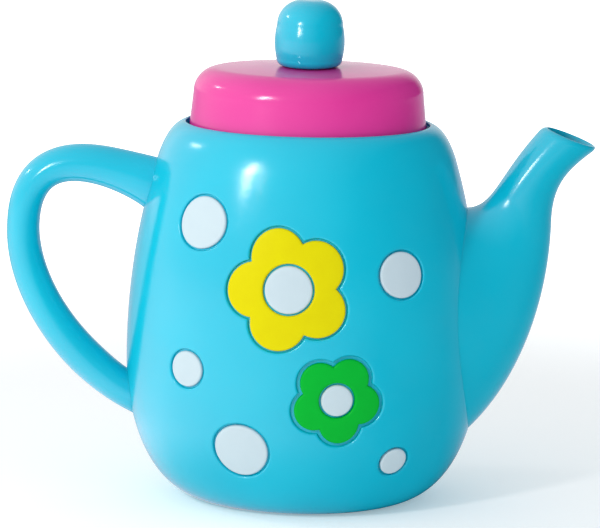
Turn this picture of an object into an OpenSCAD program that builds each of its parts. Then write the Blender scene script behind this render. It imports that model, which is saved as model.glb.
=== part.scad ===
// Toy teapot for pretend play: a hollow oval pot in two moulded halves, a trapped spout and handle,
// a lift-off lid with a screwed-on knob, and flower and dot inlays in pockets on the front.
// Millimetres, +Z up, spout towards +X, decorated front towards -Y, origin in the middle of the foot.

/* [Pot] */
// Half width of the pot where it is widest
belly_half_w = 53.2; // [51:0.1:56]
// Height of the widest level
belly_h = 44; // [41:0.5:47]
// Half width of the flat foot
foot_half_w = 28; // [25:0.5:31]
// Half width where the shoulder starts
neck_half_w = 44.2; // [43.5:0.1:45.5]
// Height where the shoulder starts
neck_h = 104.5; // [103.5:0.1:105.5]
// Height of the rim
rim_h = 114.2; // [113.4:0.1:115.5]
// Half width of the mouth that the lid drops into
mouth_half_w = 36.3; // [35.6:0.1:37]
// Wall of the two pot halves
wall_t = 2; // [1.8:0.1:2.3]
// Half depth of the pot, front to back, where it is widest
belly_half_d = 41.5; // [40:0.1:44]

/* [Lid] */
// How far the lid's seat lies below the rim
seat_drop = 3; // [2.5:0.1:3.6]
// Width of the ledge that the lid rests on
ledge_w = 2.8; // [2.4:0.1:3.2]
// Thickness of that ledge
ledge_t = 2.2; // [1.8:0.1:2.6]
// Height of the lid above its seat, without the knob
lid_h = 19.8; // [18.5:0.1:22]
// Gap between the lid's side and the mouth
lid_gap = 0.9; // [0.7:0.05:1.2]
// How far the lid's side draws in towards the top
lid_draft = 1.2; // [0.6:0.1:1.8]
// Radius of the lid's rounded top edge
lid_edge_r = 7.2; // [5:0.1:8]
// Height of the gentle dome on top of the lid
lid_dome_h = 0.7; // [0.4:0.1:1.2]
// Wall of the lid cap
lid_t = 1.8; // [1.6:0.1:2]
// Length of the plug below the lid's seat
plug_h = 8; // [6:0.1:9]
// How far the plug reaches up into the cap
plug_grip = 5; // [4:0.1:7]
// Wall of the plug
plug_t = 1.8; // [1.6:0.1:2.2]
// Gap between the plug and the ledge
plug_gap = 0.4; // [0.35:0.05:0.6]
// Gap under the lid at rest
rest_gap = 0.2; // [0.1:0.05:0.3]

/* [Knob] */
// Radius of the knob at its middle
knob_r = 10.4; // [9:0.1:11]
// Height of the knob
knob_h = 19.6; // [18:0.1:21]
// How far the knob's side draws in towards its ends
knob_barrel = 0.6; // [0.3:0.1:1]
// Radius of the knob's rounded top edge
knob_top_r = 7.4; // [5:0.1:8]
// Radius of the knob's rounded bottom edge
knob_bottom_r = 2.2; // [1.6:0.1:3]
// Wall of the hollow knob
knob_t = 2.2; // [1.8:0.1:2.6]
// Radius of the screw post inside the knob
knob_post_r = 3.2; // [2.8:0.1:3.8]

/* [Handle] */
// Reach of the handle's middle line from the pot's axis
handle_reach = 84.6; // [82:0.1:87]
// Height of the handle's outermost point
handle_mid_h = 80.4; // [79:0.2:82]
// Height of the handle's upper end on the pot
handle_top_h = 95.1; // [94.5:0.1:95.8]
// Height of the handle's lower end on the pot
handle_low_h = 31.1; // [30.5:0.1:33]
// Half thickness of the handle at its upper end
handle_top_r = 6.9; // [6.3:0.1:7.3]
// Half thickness of the handle at its outermost point
handle_mid_r = 4.9; // [4.5:0.1:5.4]
// Half thickness of the handle at its lower end
handle_low_r = 5.9; // [5.4:0.1:6.4]
// Half thickness of the handle, front to back
handle_half_d = 5.8; // [5.2:0.1:6.2]
// Wall of the handle's halves
handle_t = 1.8; // [1.5:0.1:2.1]

/* [Spout] */
// Reach of the spout's lip from the pot's axis
spout_reach = 86.4; // [84.5:0.1:88]
// Reach of the upper side of the spout's mouth
spout_mouth_x = 70.1; // [69:0.1:71.2]
// Height of the upper side of the spout's mouth
spout_top_h = 114.4; // [113:0.1:115.6]
// Height of the spout's lip
spout_lip_h = 108.4; // [107.4:0.1:109.8]
// Reach of the spout's under side at its neck
spout_neck_x = 73.4; // [72.4:0.1:74.4]
// Height of the spout's neck
spout_neck_h = 85.7; // [84:0.1:87.5]
// Height of the top of the spout's root
root_top_h = 89.3; // [88.3:0.1:90.2]
// Height of the bottom of the spout's root
root_low_h = 22; // [21.5:0.1:24]
// Half depth of the spout's root, front to back
root_half_d = 21; // [19.5:0.1:22]
// Half depth of the spout's neck
spout_neck_half_d = 7.5; // [7:0.1:8.2]
// Half depth of the spout's mouth
spout_mouth_half_d = 7.8; // [7.2:0.1:8.4]
// Wall of the spout's halves
spout_t = 1.6; // [1.4:0.1:1.8]

/* [Joints between the mouldings] */
// Clearance round the handle and the spout where they pass through the pot
root_gap = 0.15; // [0.1:0.05:0.25]
// Clearance between the trapping flanges and the pot's inside
flange_gap = 0.3; // [0.25:0.05:0.4]
// How far the trapping flanges stand out
flange_w = 1.5; // [1.2:0.1:1.7]
// Thickness of the trapping flanges
flange_t = 1.6; // [1.3:0.1:1.9]

/* [Inlays] */
// Depth of the pockets in the front half
pocket_d = 1.1; // [1:0.05:1.2]
// Thickness of the inlays
inlay_t = 1.1; // [0.9:0.05:1.3]
// Glue film under the inlays
glue_t = 0.1; // [0.08:0.01:0.15]
// Groove left round each inlay
groove_w = 0.6; // [0.4:0.05:0.8]
// Radius of the dot near the handle's upper end
dot_upper_left_r = 7.7; // [7:0.1:8.2]
// Radius of the dot towards the spout
dot_right_r = 6.8; // [6:0.1:7.4]
// Radius of the dot near the handle's lower end
dot_mid_left_r = 5.3; // [4.8:0.1:6]
// Radius of the large dot near the foot
dot_lower_left_r = 8.1; // [7.4:0.1:8.5]
// Radius of the small dot near the foot
dot_lower_right_r = 4.2; // [3.8:0.1:4.8]
// Distance of the yellow flower's petals from its middle
yellow_petal_x = 10.2; // [9.6:0.1:10.8]
// Radius of the yellow flower's petals
yellow_petal_r = 8.2; // [7.8:0.1:8.5]
// Radius of the yellow flower's white eye
yellow_eye_r = 7; // [6.4:0.1:7.3]
// Distance of the green flower's petals from its middle
green_petal_x = 7.2; // [6.8:0.1:7.6]
// Radius of the green flower's petals
green_petal_r = 6; // [5.6:0.1:6.3]
// Radius of the green flower's white eye
green_eye_r = 4.7; // [4.3:0.1:5]
// Groove left round the green flower, whose pocket is wider than the others
green_groove_w = 1.1; // [0.8:0.05:1.2]

/* [Screws] */
// Radius of the screws' shanks
screw_r = 1.3; // [1.2:0.05:1.4]
// Radius of the screws' heads
screw_head_r = 2.5; // [2.3:0.1:2.7]
// Height of the screws' heads
screw_head_h = 1.7; // [1.5:0.1:2]
// Depth of the cross recess in the screws' heads
screw_cross_d = 0.9; // [0.7:0.1:1.1]
// Width of the cross recess in the screws' heads
screw_cross_w = 0.7; // [0.5:0.1:0.9]
// Length of the shell screws under the head
shell_screw_l = 13; // [12:0.5:14]
// Length of the knob screw under the head
knob_screw_l = 10; // [9:0.5:12]
// How far the thread bites into a pilot hole's wall
thread_bite = 0.2; // [0.15:0.05:0.3]
// Clearance of a screw in its free hole
screw_gap = 0.3; // [0.2:0.05:0.4]
// Wall of the screw posts
post_t = 1.6; // [1.4:0.1:2]
// Distance of the screws from the pot's axis
screw_x = 33; // [32:0.5:34]
// Height of the lower pair of screws
screw_low_h = 17; // [16:0.5:19]
// Height of the upper pair of screws
screw_high_h = 96; // [94:0.5:97]
// Thickness of the floor under a shell screw's head
well_floor = 5; // [4:0.5:6]

/* [Hidden] */

// Colours, as the photograph shows them
pot_blue = [0.16, 0.74, 0.87];
lid_pink = [0.90, 0.24, 0.60];
petal_yellow = [0.95, 0.84, 0.05];
petal_green = [0.03, 0.68, 0.18];
dot_white = [0.90, 0.89, 0.92];
screw_steel = [0.72, 0.72, 0.74];

// How far a cut runs past what it cuts
overrun = 1.5;
// Facets: round half of the pot, up its foot, its side and its shoulder, round the lid, round half
// of a limb, along the spout and the handle, and round a dot
half_steps = 28;
low_steps = 10;
high_steps = 9;
shoulder_steps = 5;
lid_steps = 44;
tube_steps = 10;
spout_bends = 14;
handle_bends = 26;
dot_steps = 24;
$fn = 48;

// The pot's profile
foot_curve = 2.15;
side_curve = 2.06;
depth_share = belly_half_d / belly_half_w;

function low_share(z) = pow(1 - pow(1 - z / belly_h, foot_curve), 1 / foot_curve);
function high_share(z) = (z - belly_h) / (neck_h - belly_h);

// The pot's outer half width at height z
function pot_half_w(z) = z < belly_h
    ? foot_half_w + (belly_half_w - foot_half_w) * low_share(z)
    : belly_half_w - (belly_half_w - neck_half_w) * pow(high_share(z), side_curve);

// Outward normal of the pot's profile at height z, as [sideways, up]
function unit(v) = v / norm(v);
function pot_normal(z) = z < belly_h
    ? unit([pow(low_share(z), foot_curve - 1) / (belly_half_w - foot_half_w),
            -pow(1 - z / belly_h, foot_curve - 1) / belly_h])
    : unit([1, side_curve * (belly_half_w - neck_half_w) / (neck_h - belly_h)
               * pow(high_share(z), side_curve - 1)]);

// Half width of the pot's wall at depth y and height z, at a given distance inside its surface
function wall_x(y, z, inset) = let (in = inset / pot_normal(z).x, half_w = pot_half_w(z))
    (half_w - in) * sqrt(1 - pow(y / (half_w * depth_share - in), 2));

function bezier(p, t) = pow(1 - t, 3) * p[0] + 3 * pow(1 - t, 2) * t * p[1]
    + 3 * (1 - t) * t * t * p[2] + t * t * t * p[3];
function between(low, high, share) = low + (high - low) * share;
function reversed(list) = [for (i = [len(list) - 1:-1:0]) list[i]];

// Levels of the pot's outside and inside, as [half width, inset, height]
low_levels = [for (i = [0:low_steps]) belly_h * (1 - pow(cos(90 * i / low_steps), 2 / foot_curve))];
high_levels = [for (i = [1:high_steps]) between(belly_h, neck_h, i / high_steps)];
side_levels = concat(low_levels, high_levels);
shoulder_shares = [[0, 0], [0.22, 0.48], [0.48, 0.9], [0.95, 1]];
seat_h = rim_h - seat_drop;
outer_levels = concat(
    [for (z = side_levels) [pot_half_w(z), 0, z]],
    [for (i = [1:shoulder_steps]) let (s = bezier(shoulder_shares, i / shoulder_steps))
        [between(neck_half_w, mouth_half_w, s.x), 0, between(neck_h, rim_h, s.y)]]);
inner_levels = concat(
    [for (z = side_levels) let (n = pot_normal(z)) [pot_half_w(z), wall_t * n.x, z - wall_t * n.y]],
    [[mouth_half_w, -wall_t, seat_h - ledge_t]]);

// A solid through level outlines with equally many points, each turning anticlockwise seen from above
module stacked(outlines) {
    count = len(outlines);
    around = len(outlines[0]);
    sides = [for (i = [0:count - 2], j = [0:around - 1])
        let (a = i * around + j, b = i * around + (j + 1) % around)
        each [[a, a + around, b], [b, a + around, b + around]]];
    caps = [for (j = [1:around - 2], last = (count - 1) * around)
        each [[0, j, j + 1], [last, last + j + 1, last + j]]];
    polyhedron(points = [for (o = outlines) each o], faces = concat(sides, caps), convexity = 6);
}

// An oval at a level, all round or only its front half
function oval(level, from, steps, sweep) = [for (i = [0:steps]) let (angle = from + sweep * i / steps)
    [(level[0] - level[1]) * cos(angle), (level[0] * depth_share - level[1]) * sin(angle), level[2]]];
function full_oval(level) = oval(level, 0, lid_steps - 1, 360 * (1 - 1 / lid_steps));
function front_oval(level) = oval(level, 180, half_steps, 180);

// The solid front half of the pot, and what is cut from it: the inside, run past the parting plane,
// and the mouth with the ledge for the lid
module pot_half() {
    stacked([for (level = outer_levels) front_oval(level)]);
}
module inside_half() {
    stacked([for (level = inner_levels) let (arc = front_oval(level), end = arc[half_steps])
        concat(arc, [[end.x, overrun, end.z], [-end.x, overrun, end.z]])]);
}
module oval_prism(inset, low, high) {
    translate([0, 0, low])
        linear_extrude(high - low)
            polygon([for (p = full_oval([mouth_half_w, inset, 0])) [p.x, p.y]]);
}
module mouth() {
    oval_prism(ledge_w, seat_h - ledge_t - overrun, seat_h + overrun);
    oval_prism(0, seat_h, rim_h + overrun);
}

// Limbs: the spout and the handle. A section is [upper point, lower point, half depth]; its points
// run round half an oval from the upper point to the lower one, grown outwards by 'grow'.
function section_point(section, t, grow) =
    let (u = section[0], l = section[1], long = norm(u - l) / 2 + grow, mid = (u + l) / 2,
         c = mid + unit(u - l) * long * cos(t))
    [c.x, (section[2] + grow) * sin(t), c.y];

// A section point moved sideways onto the pot's wall, 'inset' inside its surface
function root_point(section, t, grow, inset, side) = let (p = section_point(section, t, grow))
    [side * wall_x(p.y, p.z, inset), p.y, p.z];

// Half a loop of a limb's moulding: outer points, and inner ones on the way back
tube_turns = [for (i = [0:tube_steps]) 180 * i / tube_steps];
function root_loop(section, grow, inner, inset, side) = concat(
    [for (t = tube_turns) root_point(section, t, grow, inset, side)],
    [for (t = reversed(tube_turns))
        let (p = section_point(section, t, inner), q = root_point(section, t, 0, inset, side))
        [q.x, p.y, p.z]]);

// A free section, drawn towards the root's saddle shape by the share 'pull'
function free_point(section, root, t, grow, pull, side) =
    let (p = section_point(section, t, grow), r = section_point(root, t, grow))
    [p.x + pull * (side * wall_x(r.y, r.z, 0) - r.x), p.y, p.z];
function free_loop(section, root, inner, pull, side) = concat(
    [for (t = tube_turns) free_point(section, root, t, 0, pull, side)],
    [for (t = reversed(tube_turns)) free_point(section, root, t, inner, pull, side)]);

// The loops of a limb's trapped end, from its flange inside the pot to the pot's surface
function end_loops(root, inner, side) = let (seat = wall_t + flange_gap) [
    root_loop(root, flange_w, inner, seat + flange_t, side),
    root_loop(root, flange_w, inner, seat, side),
    root_loop(root, 0, inner, seat - flange_gap / 2, side),
    root_loop(root, 0, inner, 0, side)];

// The front half of a limb through its loops, on the side of the pot that they lie on
module limb_half(loops, side) {
    count = len(loops);
    around = len(loops[0]);
    sides = [for (i = [0:count - 2], j = [0:around - 1])
        let (a = i * around + j, b = i * around + (j + 1) % around)
        each [[a, b, a + around], [b, b + around, a + around]]];
    ends = [for (j = [0:around / 2 - 2], last = (count - 1) * around)
        let (a = j, b = j + 1, c = around - 2 - j, d = around - 1 - j)
        each [[a, c, b], [a, d, c], [last + a, last + b, last + c], [last + a, last + c, last + d]]];
    points = [for (loop = loops) each [for (p = loop) [p.x, -p.y, p.z]]];
    polyhedron(points = points, faces = [for (f = concat(sides, ends)) side < 0 ? f : reversed(f)],
               convexity = 8);
}

// A limb's way through the wall of both pot halves, starting at a share of the neck's half width
hole_start_share = 0.88;
module root_hole(root, side) {
    near = [for (t = tube_turns) section_point(root, t, root_gap)];
    far = [for (p = reversed(near)) [p.x, -p.y, p.z]];
    outline = concat(near, [for (i = [1:tube_steps - 1]) far[i]]);
    start = neck_half_w * hole_start_share;
    length = belly_half_w + overrun - start;
    translate([side > 0 ? start : -start - length, 0, 0])
        rotate([90, 0, 90])
            linear_extrude(length)
                polygon([for (p = outline) [p.y, p.z]]);
}

// The spout's upper and under side in the middle plane, and its half depth, at a share s of its length
spout_root_top = [pot_half_w(root_top_h), root_top_h];
spout_root_low = [pot_half_w(root_low_h), root_low_h];
spout_neck = [spout_neck_x, spout_neck_h];
spout_mouth = [spout_mouth_x, spout_top_h];
spout_lip = [spout_reach, spout_lip_h];
spout_upper_shares = [[0, 0], [0.36, 0.015], [0.41, 0.42], [1, 1]];
spout_under_shares = [[0, 0], [0.63, 0.225], [1, 0.61], [1, 1]];
spout_throat_shares = [[0, 0], [0, 0.53], [0.37, 0.72], [1, 1]];
function scaled(from, to, shares) = [for (s = shares)
    [between(from.x, to.x, s.x), between(from.y, to.y, s.y)]];
spout_upper_side = scaled(spout_root_top, spout_mouth, spout_upper_shares);
spout_under_side = scaled(spout_root_low, spout_neck, spout_under_shares);
spout_throat = scaled(spout_neck, spout_lip, spout_throat_shares);
neck_at = 0.5;
root_swell = 1.6;
function spout_under(s) = s < neck_at
    ? bezier(spout_under_side, s / neck_at)
    : bezier(spout_throat, (s - neck_at) / (1 - neck_at));
function spout_half_d(s) = s < neck_at
    ? between(spout_neck_half_d, root_half_d, pow(1 - s / neck_at, root_swell))
    : between(spout_neck_half_d, spout_mouth_half_d, (s - neck_at) / (1 - neck_at));
function spout_section(s) = [bezier(spout_upper_side, s), spout_under(s), spout_half_d(s)];
spout_root = spout_section(0);
spout_loops = concat(
    end_loops(spout_root, -spout_t, 1),
    [for (i = [1:spout_bends]) let (s = i / spout_bends)
        free_loop(spout_section(s), spout_root, -spout_t, pow(1 - s, 2), 1)]);

// The handle's middle line, thickness and section at a share s of its length. Near both ends its
// sections turn upright, so that they lie along the pot's wall.
handle_top = [-pot_half_w(handle_top_h), handle_top_h];
handle_low = [-pot_half_w(handle_low_h), handle_low_h];
handle_mid = [-handle_reach, handle_mid_h];
handle_over_shares = [[0, 1], [0.38, 1.44], [1, 1.84], [1, 0]];
handle_under_shares = [[0, 0], [0, 0.36], [0.42, 0.78], [1, 1]];
handle_over = scaled([handle_top.x, handle_mid_h], [-handle_reach, handle_top_h], handle_over_shares);
handle_under = scaled(handle_mid, handle_low, handle_under_shares);
turn_zone = 0.16;
function handle_line(s) = s < 0.5 ? bezier(handle_over, 2 * s) : bezier(handle_under, 2 * s - 1);
function handle_half_t(s) = s < 0.5
    ? between(handle_top_r, handle_mid_r, sin(180 * s))
    : between(handle_mid_r, handle_low_r, 2 * s - 1);
line_step = 0.01;
function handle_out(s) =
    let (along = handle_line(min(1, s + line_step)) - handle_line(max(0, s - line_step)))
    unit([along.y, -along.x]);
function ease(x) = x * x * (3 - 2 * x);
function handle_upright(s) = ease(1 - min(1, min(s, 1 - s) / turn_zone));
function handle_section(s) =
    let (out = handle_out(s), upright = [0, s < 0.5 ? 1 : -1],
         tilt = unit(between(out, upright, handle_upright(s))),
         reach = handle_half_t(s) / (tilt * out))
    [handle_line(s) + tilt * reach, handle_line(s) - tilt * reach, handle_half_d];
handle_top_root = handle_section(0);
handle_low_root = handle_section(1);
handle_free_loops = [for (i = [1:handle_bends - 1])
    let (s = i / handle_bends, pull = pow(1 - min(1, min(s, 1 - s) / turn_zone), 2))
    free_loop(handle_section(s), s < 0.5 ? handle_top_root : handle_low_root, -handle_t, pull, -1)];
handle_loops = concat(
    end_loops(handle_top_root, -handle_t, -1),
    handle_free_loops,
    reversed(end_loops(handle_low_root, -handle_t, -1)));

// Inlays: outlines drawn flat as [direction, radius], then laid on the pot's curved front round their
// places, which are shares of the pot's half width at that level and of the shoulder's height
dot_upper_left_shares = [-0.625, 0.849];
dot_right_shares = [0.555, 0.718];
dot_mid_left_shares = [-0.643, 0.435];
dot_lower_left_shares = [-0.353, 0.214];
dot_lower_right_shares = [0.553, 0.18];
yellow_shares = [-0.091, 0.682];
green_shares = [0.191, 0.372];
petals = 5;
petal_steps = 8;
yellow_turn = 38;
green_turn = 61;

function circle_outline(r) = [for (i = [0:dot_steps - 1]) let (a = 360 * i / dot_steps) [a, r]];
function flower_outline(petal_x, petal_r, turn) = [for (i = [0:petals - 1], j = [0:petal_steps - 1])
    let (pitch = 360 / petals, off = pitch * (j / petal_steps - 0.5))
    [turn + pitch * i + off, petal_x * cos(off) + sqrt(pow(petal_r, 2) - pow(petal_x * sin(off), 2))]];

// The point of the pot's front at a flat place (p, q) round an inlay's middle, 'rise' outside the surface
function front_point(shares, p, q, rise) =
    let (at = asin(shares.x), z0 = neck_h * shares.y,
         w0 = pot_half_w(z0), n0 = pot_normal(z0), slope = n0.y / n0.x,
         across = w0 * norm([cos(at), depth_share * sin(at)]),
         along = norm([1, slope * norm([sin(at), depth_share * cos(at)])]),
         angle = at + p / across * 180 / PI, z = z0 + q / along, w = pot_half_w(z), n = pot_normal(z),
         normal = unit([depth_share * n.x * sin(angle), -n.x * cos(angle), depth_share * n.y]))
    [w * sin(angle), -w * depth_share * cos(angle), z] + normal * rise;
function ring_points(shares, outline, hole, share, rise) = [for (o = outline)
    let (r = between(hole, o[1], share)) front_point(shares, r * cos(o[0]), r * sin(o[0]), rise)];

// A plate over an outline between two rises, in rings from its middle or from a round hole
module plate(shares, outline, hole, rings, low, high) {
    around = len(outline);
    first = hole > 0 ? 0 : 1;
    ring_shares = [for (i = [first:rings]) i / rings];
    layers = [for (rise = [low, high], s = ring_shares) each ring_points(shares, outline, hole, s, rise)];
    centres = hole > 0 ? [] : [for (rise = [low, high]) front_point(shares, 0, 0, rise)];
    rows = len(ring_shares);
    top = rows * around;
    function at(i, j) = i * around + j % around;
    strips = [for (i = [0:rows - 2], j = [0:around - 1])
        each [[at(i, j), at(i, j + 1), at(i + 1, j)], [at(i + 1, j), at(i, j + 1), at(i + 1, j + 1)],
              [top + at(i, j), top + at(i + 1, j), top + at(i, j + 1)],
              [top + at(i + 1, j), top + at(i + 1, j + 1), top + at(i, j + 1)]]];
    rims = [for (j = [0:around - 1], edge = hole > 0 ? [rows - 1, 0] : [rows - 1])
        let (a = at(edge, j), b = at(edge, j + 1), faces = [[a, b, top + a], [top + a, b, top + b]])
        each edge > 0 || hole == 0 ? faces : [for (f = faces) reversed(f)]];
    fans = hole > 0 ? [] : [for (j = [0:around - 1])
        each [[2 * top, at(0, j + 1), at(0, j)], [2 * top + 1, top + at(0, j), top + at(0, j + 1)]]];
    polyhedron(points = concat(layers, centres), faces = [for (f = concat(strips, rims, fans)) reversed(f)],
               convexity = 6);
}

plate_rings = 3;
module pocket(shares, outline) {
    plate(shares, outline, 0, plate_rings, -pocket_d, overrun);
}
module inlay(shares, outline, hole) {
    low = glue_t - pocket_d;
    plate(shares, outline, hole, plate_rings, low, low + inlay_t);
}

// Screws, their posts in the front half and their wells in the rear half
pilot_r = screw_r - thread_bite;
free_r = screw_r + screw_gap;
head_free_r = screw_head_r + screw_gap;
front_post_r = screw_r + post_t;
rear_post_r = head_free_r + post_t;
pilot_depth = shell_screw_l - well_floor + overrun;
screw_places = [for (x = [-screw_x, screw_x], z = [screw_low_h, screw_high_h]) [x, z]];

module rod_y(r, from, to) {
    translate([0, from, 0])
        rotate([-90, 0, 0])
            cylinder(r = r, h = to - from);
}
module at_screws() {
    for (place = screw_places)
        translate([place.x, 0, place.y])
            children();
}

// A screw standing head down, its shank pointing up from the origin
cross_share = 0.6;
module screw(length) {
    difference() {
        union() {
            translate([0, 0, -screw_head_h])
                cylinder(r = screw_head_r, h = screw_head_h);
            cylinder(r = screw_r, h = length - screw_r);
            translate([0, 0, length - screw_r])
                cylinder(r1 = screw_r, r2 = screw_r / 4, h = screw_r);
        }
        for (turn = [0, 90])
            rotate(turn)
                translate([-cross_share * screw_head_r, -screw_cross_w / 2, -screw_head_h - overrun])
                    cube([2 * cross_share * screw_head_r, screw_cross_w, screw_cross_d + overrun]);
    }
}

module shell_screws() {
    color(screw_steel)
        at_screws()
            translate([0, well_floor, 0])
                rotate([90, 0, 0])
                    screw(shell_screw_l);
}

// Half of the pot with its ways in, round screw posts of a given radius
module shell_half(post_r) {
    difference() {
        pot_half();
        difference() {
            inside_half();
            at_screws() rod_y(post_r, -belly_half_d, 0);
        }
        mouth();
        root_hole(spout_root, 1);
        root_hole(handle_top_root, -1);
        root_hole(handle_low_root, -1);
    }
}

// The front half, with pilot holes in its posts and pockets outside
module front_shell() {
    color(pot_blue)
        difference() {
            shell_half(front_post_r);
            at_screws() rod_y(pilot_r, -pilot_depth, overrun);
            pocket(yellow_shares, flower_outline(yellow_petal_x, yellow_petal_r + groove_w, yellow_turn));
            pocket(green_shares, flower_outline(green_petal_x, green_petal_r + green_groove_w, green_turn));
            pocket(dot_upper_left_shares, circle_outline(dot_upper_left_r + groove_w));
            pocket(dot_right_shares, circle_outline(dot_right_r + groove_w));
            pocket(dot_mid_left_shares, circle_outline(dot_mid_left_r + groove_w));
            pocket(dot_lower_left_shares, circle_outline(dot_lower_left_r + groove_w));
            pocket(dot_lower_right_shares, circle_outline(dot_lower_right_r + groove_w));
        }
}

// The rear half is the front half's mirror image, with wells for the screw heads
module rear_shell() {
    color(pot_blue)
        mirror([0, 1, 0])
            difference() {
                shell_half(rear_post_r);
                at_screws() rod_y(free_r, -belly_half_d, overrun);
                at_screws() rod_y(head_free_r, -belly_half_d, -well_floor);
            }
}

module spout_front_half() {
    color(pot_blue) limb_half(spout_loops, 1);
}
module spout_rear_half() {
    color(pot_blue) mirror([0, 1, 0]) limb_half(spout_loops, 1);
}
module handle_front_half() {
    color(pot_blue) limb_half(handle_loops, -1);
}
module handle_rear_half() {
    color(pot_blue) mirror([0, 1, 0]) limb_half(handle_loops, -1);
}

// Lid: levels of the cap's outside and inside, and the plug ring, all ovals inside the mouth's
lid_low_h = seat_h + rest_gap;
lid_top_h = seat_h + lid_h;
lid_edge_h = lid_top_h - lid_dome_h - lid_edge_r;
lid_ceiling_h = lid_top_h - lid_dome_h - lid_t;
edge_steps = 5;
dome_shares = [0.75, 0.5, 0.25];
function edge_levels(t) = [for (i = [0:edge_steps]) let (a = 90 * i / edge_steps, r = lid_edge_r - t)
    [mouth_half_w, lid_gap + lid_draft + t + r * (1 - cos(a)), lid_edge_h + r * sin(a)]];
lid_outer_levels = concat(
    [[mouth_half_w, lid_gap, lid_low_h]],
    edge_levels(0),
    [for (s = dome_shares) [mouth_half_w * s, (lid_gap + lid_draft + lid_edge_r) * s,
                            lid_top_h - lid_dome_h * s * s]]);
lid_inner_levels = concat(
    [[mouth_half_w, lid_gap + lid_t, lid_low_h - overrun],
     [mouth_half_w, lid_gap + lid_t, lid_low_h + plug_grip]],
    edge_levels(lid_t));

module lid_cap() {
    color(lid_pink)
        difference() {
            stacked([for (level = lid_outer_levels) full_oval(level)]);
            stacked([for (level = lid_inner_levels) full_oval(level)]);
            translate([0, 0, seat_h])
                cylinder(r = free_r, h = lid_h + overrun);
        }
}

// The plug ring: its upper part fills the cap, its lower part the pot's mouth
plug_inset = ledge_w + plug_gap;
module lid_plug() {
    color(lid_pink)
        difference() {
            union() {
                oval_prism(plug_inset, seat_h - plug_h, lid_low_h + plug_grip);
                oval_prism(lid_gap + lid_t + root_gap, lid_low_h, lid_low_h + plug_grip);
            }
            oval_prism(plug_inset + plug_t, seat_h - plug_h - overrun, lid_low_h + plug_grip + overrun);
        }
}

// Knob: a hollow barrel of revolution with a screw post. Its profile runs up the side from the bottom.
knob_low_h = lid_top_h + rest_gap / 2;
side_steps = 6;
arc_steps = 6;
function knob_profile(t) =
    let (end_r = knob_r - knob_barrel, low = knob_bottom_r, high = knob_h - knob_top_r)
    concat(
        [for (i = [0:arc_steps]) let (a = 90 * i / arc_steps)
            [end_r - low + (low - t) * sin(a), low - (low - t) * cos(a)]],
        [for (i = [1:side_steps - 1]) let (z = between(low, high, i / side_steps))
            [knob_r - t - knob_barrel * pow(2 * i / side_steps - 1, 2), z]],
        [for (i = [0:arc_steps]) let (a = 90 * i / arc_steps)
            [end_r - knob_top_r + (knob_top_r - t) * cos(a), high + (knob_top_r - t) * sin(a)]]);
module knob_solid(t, low, high) {
    foot = [[0, low], [knob_r - knob_barrel - knob_bottom_r, low]];
    rotate_extrude()
        polygon(concat(foot, knob_profile(t), [[0, high]]));
}
knob_pilot_depth = knob_screw_l - (knob_low_h - lid_ceiling_h) + overrun;
module knob() {
    color(pot_blue)
        translate([0, 0, knob_low_h])
            difference() {
                knob_solid(0, 0, knob_h);
                difference() {
                    knob_solid(knob_t, -overrun, knob_h - knob_t);
                    cylinder(r = knob_post_r, h = knob_h);
                }
                translate([0, 0, -overrun])
                    cylinder(r = pilot_r, h = knob_pilot_depth + overrun);
            }
}
module knob_screw() {
    color(screw_steel)
        translate([0, 0, lid_ceiling_h])
            screw(knob_screw_l);
}

module yellow_flower() {
    outline = flower_outline(yellow_petal_x, yellow_petal_r, yellow_turn);
    color(petal_yellow) inlay(yellow_shares, outline, yellow_eye_r + groove_w);
}
module yellow_flower_eye() {
    color(dot_white) inlay(yellow_shares, circle_outline(yellow_eye_r), 0);
}
module green_flower() {
    outline = flower_outline(green_petal_x, green_petal_r, green_turn);
    color(petal_green) inlay(green_shares, outline, green_eye_r + groove_w);
}
module green_flower_eye() {
    color(dot_white) inlay(green_shares, circle_outline(green_eye_r), 0);
}
module dot_upper_left() {
    color(dot_white) inlay(dot_upper_left_shares, circle_outline(dot_upper_left_r), 0);
}
module dot_right() {
    color(dot_white) inlay(dot_right_shares, circle_outline(dot_right_r), 0);
}
module dot_mid_left() {
    color(dot_white) inlay(dot_mid_left_shares, circle_outline(dot_mid_left_r), 0);
}
module dot_lower_left() {
    color(dot_white) inlay(dot_lower_left_shares, circle_outline(dot_lower_left_r), 0);
}
module dot_lower_right() {
    color(dot_white) inlay(dot_lower_right_shares, circle_outline(dot_lower_right_r), 0);
}

front_shell();
rear_shell();
shell_screws();
spout_front_half();
spout_rear_half();
handle_front_half();
handle_rear_half();
lid_cap();
lid_plug();
knob();
knob_screw();
yellow_flower();
yellow_flower_eye();
green_flower();
green_flower_eye();
dot_upper_left();
dot_right();
dot_mid_left();
dot_lower_left();
dot_lower_right();
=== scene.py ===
# Toy teapot: its looks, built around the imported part. Metres, +Z up, spout towards +X, decorated front
# towards -Y, origin in the middle of the foot.
import math

import bmesh
import bpy
import numpy as np
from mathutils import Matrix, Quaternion, Vector
from mathutils.geometry import delaunay_2d_cdt


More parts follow.
